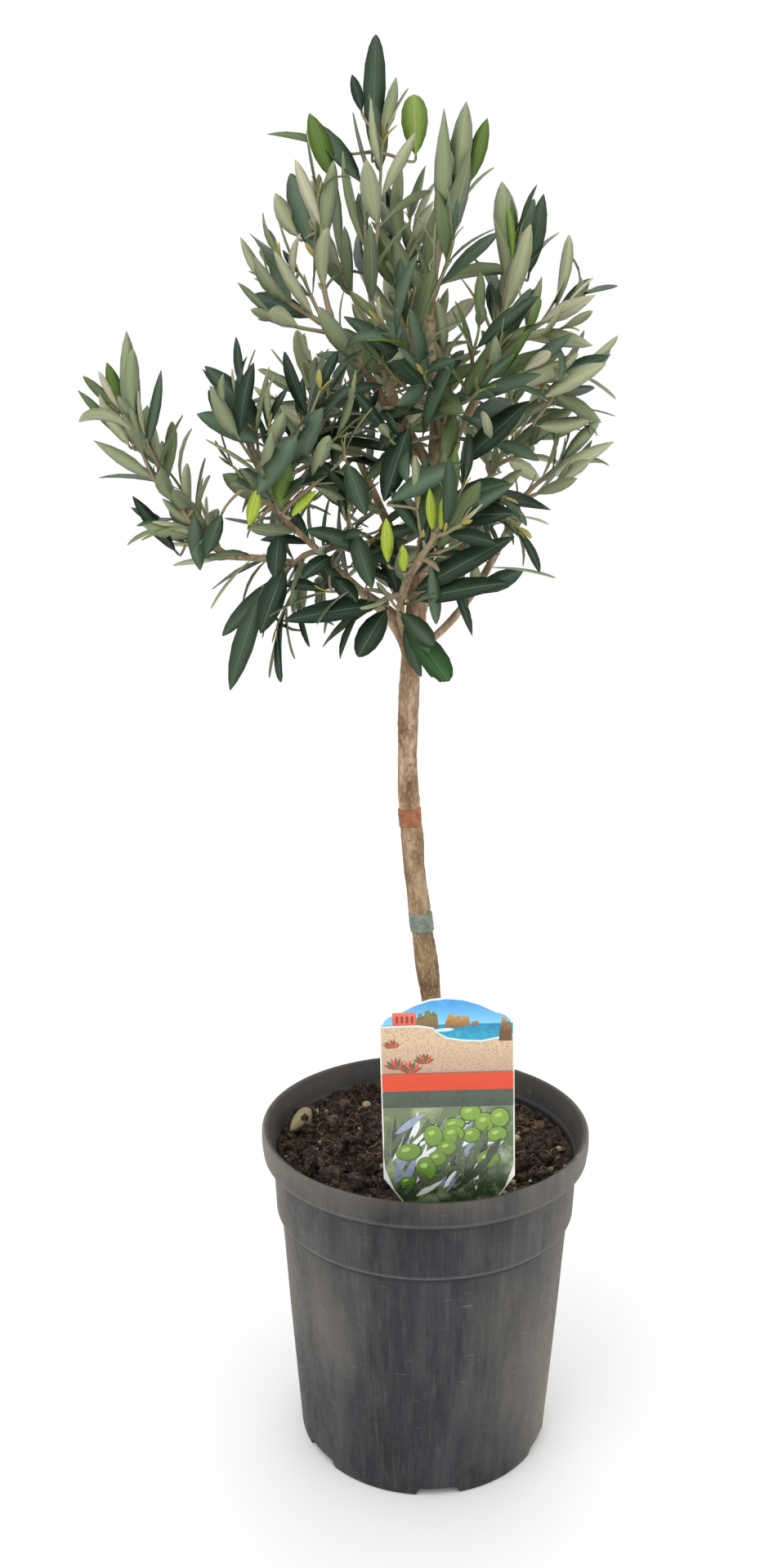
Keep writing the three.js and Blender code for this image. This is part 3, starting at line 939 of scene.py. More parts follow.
# ---------------------------------------------------------------- label
@dataclass
class PlantLabel:
    """The glossy card label: a plain printed shore, two blank bands and a sprig of green olives."""

    node: str = "plant_label"
    layer: float = 0.004 * MM
    margin: float = 0.7 * MM
    shore_foot: float = 42 * MM
    orange_top: float = 41.4 * MM
    orange_foot: float = 51 * MM
    shade_foot: float = 60.6 * MM
    printed: int = 0
    inks: dict[str, int] = field(default_factory=dict)
    materials: list[Material] = field(default_factory=list)

    def __post_init__(self) -> None:
        """Finds the card's plane, width and top from the frame node."""
        points = node_points(self.node)
        self.top = points[:, 2].max()
        middle = points.mean(axis=0)
        axes = np.linalg.svd(points - middle, full_matrices=False)[2]
        self.up = axes[0] * np.sign(axes[0][2])
        self.right = axes[1] * np.sign(axes[1][0])
        self.out = np.cross(self.right, self.up)
        offsets = points - middle
        self.face = middle + self.out * (offsets @ self.out).max()
        high = (offsets @ self.up).max()
        across, down = np.abs(offsets @ self.right), high - offsets @ self.up
        self.width = 2 * across.max()
        cut = down[across > 0.98 * across.max()].max()
        below = down > cut + 1 * MM
        neck = down[below & (across > 0.5 * across[below].max())].min()
        self.cut_down = np.array([0, cut, neck])
        self.cut_half = np.array([self.width / 2, self.width / 2, across[below].max()])
        self.crown = self.face + self.up * high
        level = offsets @ self.out
        rim = (level > level.max() - 0.05 * MM) & (down < cut + 0.5 * MM)
        order = np.argsort((offsets @ self.right)[rim])
        self.arch_across = (offsets @ self.right)[rim][order]
        self.arch_down = down[rim][order]

    def at(self, across: Array, down: Array, height: float) -> Array:
        """Points across from the card's centreline and down from its top, raised off it by a height."""
        return self.crown + self.right * across[..., None] - self.up * down[..., None] + self.out * height

    def ink(self, finish: PrintedInk) -> int:
        """The slot of an ink, added to the list when it is first used."""
        if finish.name not in self.inks:
            self.inks[finish.name] = len(self.materials)
            self.materials.append(finish.material())
        return self.inks[finish.name]

    def patch(self, across: Array, down: Array, finish: PrintedInk) -> Shape:
        """One printed shape with that anticlockwise outline, a hair above the last one that was printed."""
        self.printed += 1
        outline = self.at(across, down, self.layer * self.printed)
        return ring_surface(np.stack([outline - self.out * 2 * self.layer, outline]), self.ink(finish))

    def outline_at(self, down: Array) -> Array:
        """Half the picture's width at a depth below the top. It narrows with the card, to its spike."""
        return np.interp(down, self.cut_down, self.cut_half) - self.margin

    def band(self, top: float, bottom: float, finish: PrintedInk, wave: float = 0) -> Shape:
        """A band across the card, whose upper edge waves by that height."""
        x = np.linspace(-1, 1, 40) * self.outline_at(np.array(top))
        upper = top + wave * (np.sin(x * 120) * 0.6 + np.sin(x * 290) * 0.4)
        across = np.concatenate([x, x[::-1]])
        return self.patch(across, np.concatenate([np.full(40, bottom), upper[::-1]]), finish)

    def sky(self, bottom: float, finish: PrintedInk) -> Shape:
        """The picture's top, which follows the card's own arched edge inside a margin."""
        half = self.width / 2 - self.margin
        x = np.linspace(half, -half, 64)
        arch = np.interp(x * self.width / 2 / half, self.arch_across, self.arch_down) + self.margin
        across = np.concatenate([[-half, half], x])
        return self.patch(across, np.concatenate([[bottom, bottom], arch]), finish)

    def turned_patch(self, x: float, y: float, u: Array, v: Array, turn: float, finish: PrintedInk) -> Shape:
        """A printed shape with the outline (u, v), turned and then moved to (x, y), in millimetres."""
        across = x + u * math.cos(turn) - v * math.sin(turn)
        return self.patch(across * MM, (y - u * math.sin(turn) - v * math.cos(turn)) * MM, finish)

    def oval(self, x: float, y: float, size: tuple, turn: float, finish: PrintedInk) -> Shape:
        """An ellipse: u = a cos t, v = b sin t, turned. Its sizes are in millimetres."""
        t = np.linspace(0, WHOLE_TURN, 28, endpoint=False)
        return self.turned_patch(x, y, size[0] * np.cos(t), size[1] * np.sin(t), turn, finish)

    def leaf(self, x: float, y: float, length: float, turn: float, width: float, finish: PrintedInk) -> Shape:
        """A leaf from (x, y): two bows of half-width W/2 sin(pi t^0.85). Its sizes are in millimetres."""
        t = np.linspace(0, 1, 15)
        bow = width / 2 * np.sin(math.pi * t**0.85)
        u = np.concatenate([t, t[-2:0:-1]]) * length
        return self.turned_patch(x, y, u, np.concatenate([-bow, bow[-2:0:-1]]), turn, finish)

    def rock(self, x: float, base: float, width: float, height: float, finish: PrintedInk) -> Shape:
        """A craggy rock standing on a level line, its outline roughened by waves, in millimetres."""
        t = np.linspace(0, math.pi, 26)
        rough = 1 + 0.14 * np.sin(5 * t + x) + 0.1 * np.sin(11 * t + 2 * x) + 0.05 * np.sin(23 * t)
        across = (x + width / 2 * np.cos(t)) * MM
        return self.patch(across, (base - height * np.sin(t) ** 0.7 * rough) * MM, finish)

    def block(self, x0: float, x1: float, top: float, base: float, finish: PrintedInk) -> Shape:
        """An upright rectangle, in millimetres."""
        return self.patch(np.array([x0, x1, x1, x0]) * MM, np.array([base, base, top, top]) * MM, finish)

    def shore(self) -> list[Shape]:
        """The upper picture: a blue sky, rocks in the sea, a red house, and a beach with tufts of plants."""
        z = self.top
        sky = PrintedInk("sky", "#86d2f0", "#0a86dc", z - 15 * MM, z, "#5fc2ee", 70)
        sea = PrintedInk("sea", "#27a6c8", "#0d7fae", z - 25 * MM, z - 15 * MM, "#2fc0d8", 320)
        foam = PrintedInk("foam", "#cfe9ea", "#e4f2ef")
        stone = PrintedInk("stone", "#6b4a2c", "#d29a50", z - 18 * MM, z - 9 * MM, "#5b4a33", 520)
        tree = PrintedInk("tree", "#7d5a34", "#8a8746", z - 17 * MM, z - 6 * MM, "#4f5c2e", 600)
        sand = PrintedInk("sand", "#bfa089", "#dcbf9b", z - 42 * MM, z - 24 * MM, "#7f6757", 900)
        wall = PrintedInk("wall", "#d9543c", "#ee7a5c", z - 16 * MM, z - 7 * MM, "#b8442f", 700)
        dark = PrintedInk("window", "#7a2b22", "#8d3428")
        petal = PrintedInk("petal", "#d8412c", "#f2694a", z - 24 * MM, z - 14 * MM, "#f9a58d", 900)
        stalk = PrintedInk("stalk", "#93301f", "#b5402c", z - 42 * MM, z - 22 * MM, "#d8765f", 900)
        green = PrintedInk("broad_leaf", "#1c6a34", "#3f9b4c", z - 27 * MM, z - 10 * MM, "#2b7d3c", 400)
        half = self.width / 2 - self.margin
        shore_x = (np.array([-34, -14, -7, -5, 0, 8, 18, 25, 33.7]) * MM).clip(-half, half)
        shore_y = np.array([15.7, 15.6, 17, 19.5, 22.5, 24, 24.6, 23.2, 21.6]) * MM
        drawn = [
            self.sky(24 * MM, sky),
            self.band(14.5 * MM, 25.5 * MM, sea),
            self.rock(9.6, 15.6, 4.6, 5.6, stone),
            self.rock(14.6, 15.2, 4.4, 2.2, stone),
            self.rock(3.6, 16.4, 9, 7.2, stone),
            self.rock(-8.4, 16.6, 8.4, 9.6, tree),
            self.block(-27.8, -15.6, 7.6, 16, wall),
            self.rock(-13.2, 16, 5, 7.4, tree),
            self.oval(-1.5, 17.6, (5, 0.9), 0.05, foam),
            self.shoreline(shore_x, shore_y - 0.9 * MM, foam),
            self.shoreline(shore_x, shore_y, sand),
            self.rock(30, 24.4, 6.6, 12.5, stone),
        ]
        drawn += [self.block(x, x + 1.1, 9.6, 13.4, dark) for x in (-26, -23.4, -20.8, -18.2)]
        for x, y, reach in [(-26.5, 39, 7), (-19, 41, 7), (-28.5, 27, 5), (-12, 36, 6)]:
            for k in range(7):
                drawn.append(self.leaf(x, y, reach, 0.45 + 0.38 * k, 1.9, (stalk, petal, green)[k % 3]))
        return drawn

    def shoreline(self, x: Array, y: Array, finish: PrintedInk) -> Shape:
        """The ground below a line across the card."""
        foot = np.linspace(x[-1], x[0], len(x))
        across = np.concatenate([x, foot])[::-1]
        return self.patch(across, np.concatenate([y, np.full(len(x), self.shore_foot)])[::-1], finish)

    def sprig(self) -> list[Shape]:
        """The lower picture: green olives among grey-green leaves on a blurred ground."""
        z = self.top
        low, high = z - 108 * MM, z - 58 * MM
        ground = PrintedInk("blurred_leaves", "#33482a", "#70825a", low, high, "#b7c59a", 75)
        blade = PrintedInk("blade", "#44523b", "#5f6c50", low, high, "#7d8a68", 700)
        shade = PrintedInk("shaded_blade", "#2d3a2b", "#3f4d38", low, high, "#55624a", 700)
        silver = PrintedInk("silver_blade", "#7d8aa5", "#a7b0c6", low, high, "#626e86", 600)
        pale = PrintedInk("sunlit_gap", "#dfe2da", "#eef0ea", low, high)
        fruit = PrintedInk("fruit", "#4a7420", "#86a93f", low, z - 60 * MM, "#6c9430", 260)
        shine = PrintedInk("fruit_light", "#9dbb55", "#b5cd80")
        edge = PrintedInk("fruit_edge", "#3d5c1b", "#54752a")
        depth = np.array([61, 95, 108, 120]) * MM
        half = self.outline_at(depth)
        across = np.concatenate([-half, half[::-1]])
        drawn = [self.patch(across, np.concatenate([depth, depth[::-1]]), ground)]
        rng = np.random.default_rng(8)
        inks = (blade, shade, pale, silver)
        for k in range(170):
            x, y = rng.uniform(-33, 28), rng.uniform(66, 112)
            reach, turn = rng.uniform(12, 28), rng.normal(0.95, 0.3)
            end_x, end_y = x + reach * math.cos(turn), y - reach * math.sin(turn)
            ends = [(abs(x) * MM, y * MM), (abs(end_x) * MM, end_y * MM)]
            inside = all(across < self.outline_at(down) - 1.5 * MM for across, down in ends)
            if inside and end_y > 63:
                drawn.append(self.leaf(x, y, reach, turn, rng.uniform(2, 4.6), inks[k % 4]))
        drawn.append(self.leaf(-28, 75.5, 20.5, 0.64, 4.2, silver))
        drawn.append(self.leaf(-33, 94, 23, 1.45, 4.4, blade))
        olives = [(11.7, 64.4, 5, 4.2), (3, 71, 5.4, 3.4), (19, 70, 4.6, 5), (27, 67.5, 4.6, 5)]
        olives += [(25.6, 77, 4.8, 3.8), (12, 77, 4.4, 4), (2.5, 76.5, 5.4, 4.6), (-7.8, 77, 4.6, 5.6)]
        olives += [(-21, 86, 6, 4.4), (-0.8, 84, 4.6, 3.9), (-6, 90, 4.4, 4), (-12, 96, 4.8, 6.2)]
        olives += [(20.6, 91, 5.6, 4.6), (-22, 103, 4, 2.4)]
        for x, y, wide, tall in olives:
            drawn.append(self.oval(x, y, (1.14 * wide, 1.14 * tall), 0.15, edge))
            drawn.append(self.oval(x - 0.3, y - 0.4, (1.03 * wide, 1.03 * tall), 0.15, fruit))
            drawn.append(self.oval(x - 0.25 * wide, y - 0.35 * tall, (0.4 * wide, 0.25 * tall), 0.3, shine))
        for x, y, reach, turn, finish in [
            (7, 101.5, 27, 1.66, blade),
            (8.5, 98, 30, 1.14, blade),
            (19, 92, 16, 1.0, shade),
            (10, 103, 22, 0.85, shade),
            (-10, 106, 12, 2.2, blade),
            (20, 104, 13, 1.2, blade),
        ]:
            drawn.append(self.leaf(x, y, reach, turn, 4.6, finish))
        return drawn

    def build(self) -> None:
        """Prints the card in thin layers of ink, and gives the card itself a white finish.

        The two pictures don't overlap, so the layers of both are counted from the card.
        """
        z = self.top
        orange = PrintedInk("orange_band", "#d63c10", "#dc4416", z - 56 * MM, z - 43 * MM)
        shade = PrintedInk("shade_band", "#3d4a3c", "#4a5647", z - 64 * MM, z - 54 * MM, "#2f3c30", 160)
        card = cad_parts[self.node]
        white = PrintedInk("white_card", "#e9e8e2", "#f3f2ee").material()
        card.data.materials.clear()
        card.data.materials.append(white)
        upper = self.shore()
        self.printed = 0
        lower = self.sprig()
        bands = [
            self.band(self.orange_top, self.orange_foot, orange),
            self.band(self.orange_foot, self.shade_foot, shade),
        ]
        drawn = Shape.join(upper + lower + bands)
        place(make_piece("label_print", drawn, self.materials, smooth=False), "label_card")


# ---------------------------------------------------------------- wood
@dataclass
class Limb:
    """A stem, bough or shoot: the points of its centreline from its foot, and the wood's radius at each."""

    path: Array
    radii: Array

    def nearest(self, point: Array) -> int:
        """The number of the centreline point nearest to a place."""
        return int(np.argmin(np.linalg.norm(self.path - point, axis=1)))

    def heading(self, index: int) -> Array:
        """The way the limb grows at one of its points."""
        return unit(np.gradient(self.path, axis=0)[index])

    def run(self) -> Array:
        """How far along the limb each point is from its foot."""
        return np.concatenate([[0], np.cumsum(np.linalg.norm(np.diff(self.path, axis=0), axis=1))])


def measure_limb(node: str, start: Array, stations: int = 14, degree: int = 4) -> Limb:
    """Finds a frame limb's centreline and radius by slicing it.

    Planes square to the line from its foot to its tip cut its triangles' edges. Each slice's middle and mean
    radius are taken, and a polynomial through them smooths the facets away.

    Args:
        node: The frame node of the limb.
        start: A place near its foot.
        stations: How many slices.
        degree: The degree of the polynomials.

    Returns:
        The limb, from foot to tip.
    """
    triangles = node_triangles(node)
    points = node_points(node)
    foot = points[np.argmin(np.linalg.norm(points - start, axis=1))]
    tip = points[np.argmax(np.linalg.norm(points - foot, axis=1))]
    along = unit(tip - foot)
    reach = (points - foot) @ along
    edges = np.concatenate([triangles[:, [0, 1]], triangles[:, [1, 2]], triangles[:, [2, 0]]])
    heights = (edges - foot) @ along
    shares = np.linspace(0.05, 0.95, stations)
    centres, radii = [], []
    for share in shares:
        level = reach.min() + share * np.ptp(reach)
        cut = (heights[:, 0] < level) != (heights[:, 1] < level)
        t = (level - heights[cut, 0]) / (heights[cut, 1] - heights[cut, 0])
        ring = edges[cut, 0] + (edges[cut, 1] - edges[cut, 0]) * t[:, None]
        centres.append((ring.min(axis=0) + ring.max(axis=0)) / 2)
        radii.append(np.linalg.norm(ring - centres[-1], axis=1).mean())
    fine = np.linspace(0, 1, 60)
    fits = [np.polyfit(shares, np.array(centres)[:, k], degree) for k in range(3)]
    line = np.stack([np.polyval(fit, fine) for fit in fits], axis=1)
    return Limb(line, np.polyval(np.polyfit(shares, radii, 1), fine))


@dataclass
class Woodwork:
    """The stem and boughs with their bark, each bough grown out of the limb that bears it."""

    bearers: dict[str, str] = field(
        default_factory=lambda: {
            "leader": "trunk",
            "left_leader": "leader",
            "right_leader": "leader",
            "upper_left": "leader",
            "upper_right": "leader",
            "left": "trunk",
            "far_left": "trunk",
            "right_long": "trunk",
            "front": "trunk",
            "back_right": "trunk",
            "back_left": "trunk",
        }
    )
    limbs: dict[str, Limb] = field(default_factory=dict)
    knot_spacing: float = 21 * MM
    knot_height: float = 1.6 * MM
    ridge_height: float = 0.30 * MM
    pimple_height: float = 0.35 * MM
    bulge_height: float = 0.5 * MM
    collar_reach: float = 7 * MM
    flare_reach: float = 9 * MM

    def measure(self) -> None:
        """Measures the stem, then each bough from the side of its bearer."""
        low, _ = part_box("trunk")
        self.limbs["trunk"] = measure_limb("trunk", np.array([12 * MM, 0, low.z]), 24, 6)
        for bough, bearer in self.bearers.items():
            points = node_points(f"bough_{bough}")
            parent = self.limbs[bearer]
            gaps = [np.linalg.norm(parent.path - p, axis=1).min() for p in points]
            limb = measure_limb(f"bough_{bough}", points[int(np.argmin(gaps))])
            self.limbs[bough] = self.rooted(limb, parent)

    def rooted(self, limb: Limb, parent: Limb) -> Limb:
        """The limb with its foot led back into its bearer, and thickened there into a collar."""
        foot = limb.path[0]
        root = parent.path[max(parent.nearest(foot) - 2, 0)]
        lead = hermite(root, foot - root, foot, foot - root, 9)[:-1]
        path = np.concatenate([lead, limb.path])
        run = np.linalg.norm(path - root, axis=1)
        flare = 1 + 0.5 * np.exp(-((run / self.collar_reach) ** 2))
        return Limb(path, np.concatenate([np.full(len(lead), limb.radii[0]), limb.radii]) * flare)

    def bark_grid(self, limb: Limb, sides: int, rings: int, seed: int, relief: float) -> Array:
        """Rings of bark round a limb.

        The radius is the wood's, plus long low ridges drawn out along the limb, fine pimples, broad bulges,
        and a swelling at each knot where leaves once stood.

        Args:
            limb: The wood.
            sides: Points round each ring.
            rings: How many rings.
            seed: Picks another bark.
            relief: The share of the full relief that it has.

        Returns:
            Grid of points, rings by sides by three.
        """
        share = np.linspace(0, len(limb.path) - 1, rings)
        whole = np.arange(len(limb.path))
        path = along_path(share, whole, limb.path)
        radii = np.interp(share, whole, limb.radii)
        run = Limb(path, radii).run()
        smooth = tube_rings(path, radii, sides)
        stretched = unit(smooth - path[:, None]) * 6 * MM + path[:, None] * 0.28
        ridges = layered_noise(stretched, 4.2 * MM, 3, seed) * self.ridge_height
        pimples = np.maximum(lattice_noise(smooth, 1.3 * MM, seed + 5) - 0.35, 0) * self.pimple_height
        bulges = lattice_noise(smooth, 19 * MM, seed + 9) * self.bulge_height
        knot = np.cos(run / self.knot_spacing * WHOLE_TURN + seed)[:, None]
        uneven = 0.4 + 0.6 * lattice_noise(smooth, 8 * MM, seed + 2) ** 2
        swell = np.maximum(knot - 0.8, 0) * self.knot_height * uneven
        thin = np.minimum(radii / (5 * MM), 1)[:, None]
        return tube_rings(path, radii[:, None] + (ridges + pimples + bulges + swell) * relief * thin, sides)

    def build(self) -> None:
        """Covers the stem and every bough with bark."""
        trunk = self.limbs["trunk"]
        foot = trunk.path[0] - [0, 0, 7 * MM]
        tip = trunk.path[-1] + trunk.heading(-1) * 4 * MM
        stem = Limb(
            np.concatenate([[foot], trunk.path, [tip]]),
            np.concatenate([[trunk.radii[0] * 1.25], trunk.radii, [trunk.radii[-1] * 0.9]]),
        )
        spread = np.linalg.norm(stem.path - stem.path[0], axis=1)
        stem.radii = stem.radii * (1 + 0.35 * np.exp(-spread / self.flare_reach))
        low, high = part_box("trunk")
        finish = YoungBark(low.z + 100 * MM, high.z - 60 * MM)
        bark = finish.material()
        paler = replace(finish, name="bough_bark", upper_colours=("#63503c", "#9f8a70", "#cfbea4")).material()
        grid = self.bark_grid(stem, 120, 620, 3, 1.0)
        place(make_piece("stem_bark", ring_surface(grid), [bark]), "bark", "trunk")
        for number, bough in enumerate(self.bearers):
            grid = self.bark_grid(self.limbs[bough], 26, 130, 20 + number, 0.9)
            place(make_piece(f"bough_{bough}_bark", ring_surface(grid), [paler]), "bark", f"bough_{bough}")


@dataclass(frozen=True)
class TapeBand:
    """A turn of tape round the stem, a little proud of the bark, with a rough edge."""

    node: str
    finish: Tape
    proud: float
    fray: float

    def build(self, stem: Limb) -> None:
        """Winds the tape: a length of the stem's surface, lifted, wrinkled, and frayed at its edges."""
        low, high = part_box(self.node)
        levels = np.linspace(low.z, high.z, 26)
        path = along_path(levels, stem.path[:, 2], stem.path)
        radius = np.interp(levels, stem.path[:, 2], stem.radii)
        rings = tube_rings(path, radius, 96)
        share = np.linspace(-1, 1, len(levels))[:, None]
        edge = lattice_noise(rings * [1, 1, 0.2], 1.6 * MM, 6) * self.fray
        rings[..., 2] += edge * share * np.abs(share)
        wrinkle = lattice_noise(rings * [1, 1, 2.5], 3 * MM, 15) * 0.22 * MM
        lift = self.proud * (1 - share**12) + wrinkle * (1 - share**8)
        wall = rings + unit(rings - path[:, None]) * (lift + 0.25 * MM)[..., None]
        inner = path[:, None] + (rings - path[:, None]) * 0.9
        closed = np.concatenate([inner[:1], wall, inner[-1:]])
        tape = make_piece(f"{self.node}_tape", ring_surface(closed), [self.finish.material()])
        place(tape, self.node, self.node)


# ---------------------------------------------------------------- leaves
@dataclass
class Leaves:
    """Many leaves at once. Each array holds one row per leaf."""

    base: Array
    along: Array
    face: Array
    length: Array
    width: Array
    bend: Array
    twist: Array
    point: Array
    upper: Array
    under: Array

    STATIONS = np.array([0.0, 0.08, 0.2, 0.38, 0.58, 0.77, 0.9, 0.97, 1.0])
    COLUMNS = np.array([-1.0, -0.04, 0.04, 1.0])
    STRAIGHT = 1e-3
    THICKNESS = 0.5 * MM

    @staticmethod
    def join(groups: list["Leaves"]) -> "Leaves":
        """One set of leaves from several."""
        return Leaves(*[np.concatenate([getattr(g, f.name) for g in groups]) for f in fields(Leaves)])

    def half_width(self) -> Array:
        """Half the blade's width at each station.

        It is W t^0.8 (1 - t)^p past the stalk: widest round the middle, and blunt at the tip where p is low.
        """
        t = np.clip((self.STATIONS - 0.07) / 0.93, 0, 1)
        outline = t**0.8 * (1 - t) ** self.point[:, None]
        stalk = np.where(self.STATIONS < 0.1, 0.6 * MM, 0.2 * MM)
        return np.maximum(self.width[:, None] / 2 * outline / outline.max(axis=1, keepdims=True), stalk)

    def shape(self) -> Shape:
        """All the blades as one shape.

        A blade's midrib is an arc of a circle that turns by its bend over its length. Across it the blade
        folds up a little from the rib and rolls down at the margin. A second surface under it shares its rim.
        """
        count, rows, columns = len(self.length), len(self.STATIONS), len(self.COLUMNS)
        bend = np.where(np.abs(self.bend) < self.STRAIGHT, self.STRAIGHT, self.bend)
        turned = bend[:, None] * self.STATIONS
        size = (self.length[:, None] * self.STATIONS / np.where(turned == 0, 1, turned))[..., None]
        along, face = self.along[:, None], self.face[:, None]
        cos, sin = np.cos(turned)[..., None], np.sin(turned)[..., None]
        rib = self.base[:, None] + (along * sin - face * (1 - cos)) * size
        tangent = along * cos - face * sin
        upward = rotate(face * cos + along * sin, tangent, self.twist[:, None] * self.STATIONS)
        across = np.cross(tangent, upward)
        half = self.half_width()[..., None, None]
        v = self.COLUMNS[None, None, :, None]
        lift = np.abs(v) * 0.24 - v**2 * 0.08
        top = rib[:, :, None] - across[:, :, None] * v * half + upward[:, :, None] * lift * half
        low = top - upward[:, :, None] * self.THICKNESS
        grid = np.arange(rows * columns).reshape(rows, columns)
        below = grid.copy()
        inner = (rows - 2) * (columns - 2)
        below[1:-1, 1:-1] = rows * columns + np.arange(inner).reshape(rows - 2, columns - 2)
        faces = np.concatenate([quads(grid)[:, [0, 3, 2, 1]], quads(below)])
        inside = low[:, 1:-1, 1:-1]
        points = np.concatenate([top.reshape(count, -1, 3), inside.reshape(count, -1, 3)], axis=1)
        every = faces + np.arange(count)[:, None, None] * points.shape[1]
        return Shape(points.reshape(-1, 3), every.reshape(-1, 4), self.slots(rows - 1, columns - 1))

    def slots(self, rows: int, strips: int) -> Array:
        """The material slot of each face: blades in their tints, the middle strip and the stalk as ribs."""
        number = np.arange(rows * strips)
        is_rib = (number % strips == 1) | (number < strips)
        upper = np.where(is_rib, TINTS.index(Tint.RIB), self.upper[:, None])
        under = np.where(is_rib, TINTS.index(Tint.STALK), self.under[:, None])
        return np.concatenate([upper, under], axis=1).ravel()


def quads(grid: Array) -> Array:
    """The four corners of each cell of a grid of point numbers."""
    return np.stack([grid[:-1, :-1], grid[1:, :-1], grid[1:, 1:], grid[:-1, 1:]], axis=-1).reshape(-1, 4)


@dataclass(frozen=True)
class Palette:
    """The shares of each upper and under tint in a spray."""

    upper: tuple[float, ...]
    under: tuple[float, ...]


# SHADE is painted shade: mostly the darkest tints, for the low, inner and hanging leaves where the crown's
# shade falls. LIGHT is painted light: paler tints for the upper crown where the light falls.
SHADE = Palette((0.50, 0.36, 0.12, 0.02, 0.0, 0.0), (0.5, 0.4, 0.1, 0.0, 0.0))
CROWN = Palette((0.15, 0.27, 0.30, 0.27, 0.01, 0.0), (0.2, 0.46, 0.32, 0.02, 0.0))
LIGHT = Palette((0.04, 0.20, 0.36, 0.36, 0.04, 0.0), (0.12, 0.44, 0.38, 0.04, 0.02))
SPRING = Palette((0.32, 0.36, 0.20, 0.09, 0.03, 0.0), (0.26, 0.48, 0.2, 0.03, 0.03))


@dataclass(frozen=True)
class Habit:
    """How leaves sit on a shoot.

    spread is their angle to it, rise how far they lift, lit how far they turn their faces to the light, and
    droop how far their tips hang. They lie closer to the shoot in its tip_zone and are smaller within about
    its young_zone. overhang is how far they may reach past their mass. Shares of them are missing or curled.
    """

    palette: Palette
    leaf: float = 46 * MM
    spread: float = 0.95
    rise: float = 0.1
    lit: float = 0.5
    droop: float = 0.3
    spacing: float = 13.5 * MM
    tip_zone: float = 34 * MM
    young_zone: float = 8 * MM
    overhang: float = 11 * MM
    missing: float = 0.06
    curled: float = 0.07


LEADER = Habit(LIGHT, 48 * MM, 0.75, 0.25, 0.35, 0.15)
OUTER = Habit(LIGHT, 44 * MM, 0.85, 0.15, 0.4, 0.25)
MIDDLE = Habit(LIGHT, 47 * MM, 0.95, 0.1, 0.45, 0.35)
INNER = Habit(CROWN, 48 * MM, 1.0, 0.05, 0.6, 0.35)
LOW = Habit(SHADE, 48 * MM, 1.1, -0.15, 0.8, 0.45)
YOUNG = Habit(SPRING, 46 * MM, 0.9, 0.1, 0.6, 0.3)
HANGING = Habit(SHADE, 50 * MM, 0.8, -0.5, 0.8, 0.2)


@dataclass(frozen=True)
class Spray:
    """How one foliage mass is filled: a main shoot from its bough, side shoots, and pairs of leaves on them.

    reach is the share of the mass that the main shoot goes up, and bare its own share without leaves.
    """

    mass: str
    bough: str
    habit: Habit
    shoots: int
    reach: float = 0.66
    bare: float = 0.2


SPRAYS = [
    Spray("top_left", "left_leader", LEADER, 2, 0.4),
    Spray("top_right", "right_leader", LEADER, 2, 0.56),
    Spray("upper_left", "upper_left", LEADER, 2, 0.52),
    Spray("outer_left", "upper_left", OUTER, 2, 0.52),
    Spray("upper_right", "upper_right", LEADER, 2, 0.54),
    Spray("right", "upper_right", OUTER, 3, 0.58),
    Spray("outer_right", "upper_right", OUTER, 3, 0.56),
    Spray("low_right", "right_long", OUTER, 2, 0.55),
    Spray("centre_front", "leader", MIDDLE, 6, 0.7),
    Spray("right_front", "leader", MIDDLE, 5, 0.7),
    Spray("left", "left", YOUNG, 7, 0.62),
    Spray("inner_left", "left", LOW, 8, 0.66),
    Spray("fork_left", "left", LOW, 6, 0.62),
    Spray("far_left", "far_left", OUTER, 2, 0.5),
    Spray("low_left", "far_left", INNER, 5, 0.55),
    Spray("hanging_left", "left", HANGING, 1, 0.35),
    Spray("front", "front", YOUNG, 4, 0.55),
    Spray("skirt_right", "front", LOW, 0, 0.2),
    Spray("skirt_left", "front", LOW, 1, 0.25),
    Spray("drop", "front", HANGING, 0, 0.3),
    Spray("side_right", "leader", LOW, 4, 0.5),
    Spray("back_low", "back_right", LOW, 5, 0.66),
    Spray("back_left", "back_left", INNER, 5, 0.66),
    Spray("back_right", "back_right", INNER, 5, 0.66),
    Spray("back", "back_left", INNER, 6, 0.68),
    Spray("back_top", "leader", LEADER, 4, 0.64),
    Spray("rear_left", "back_left", LOW, 4, 0.62),
]
LEAFY_BOUGHS = ("left", "far_left")


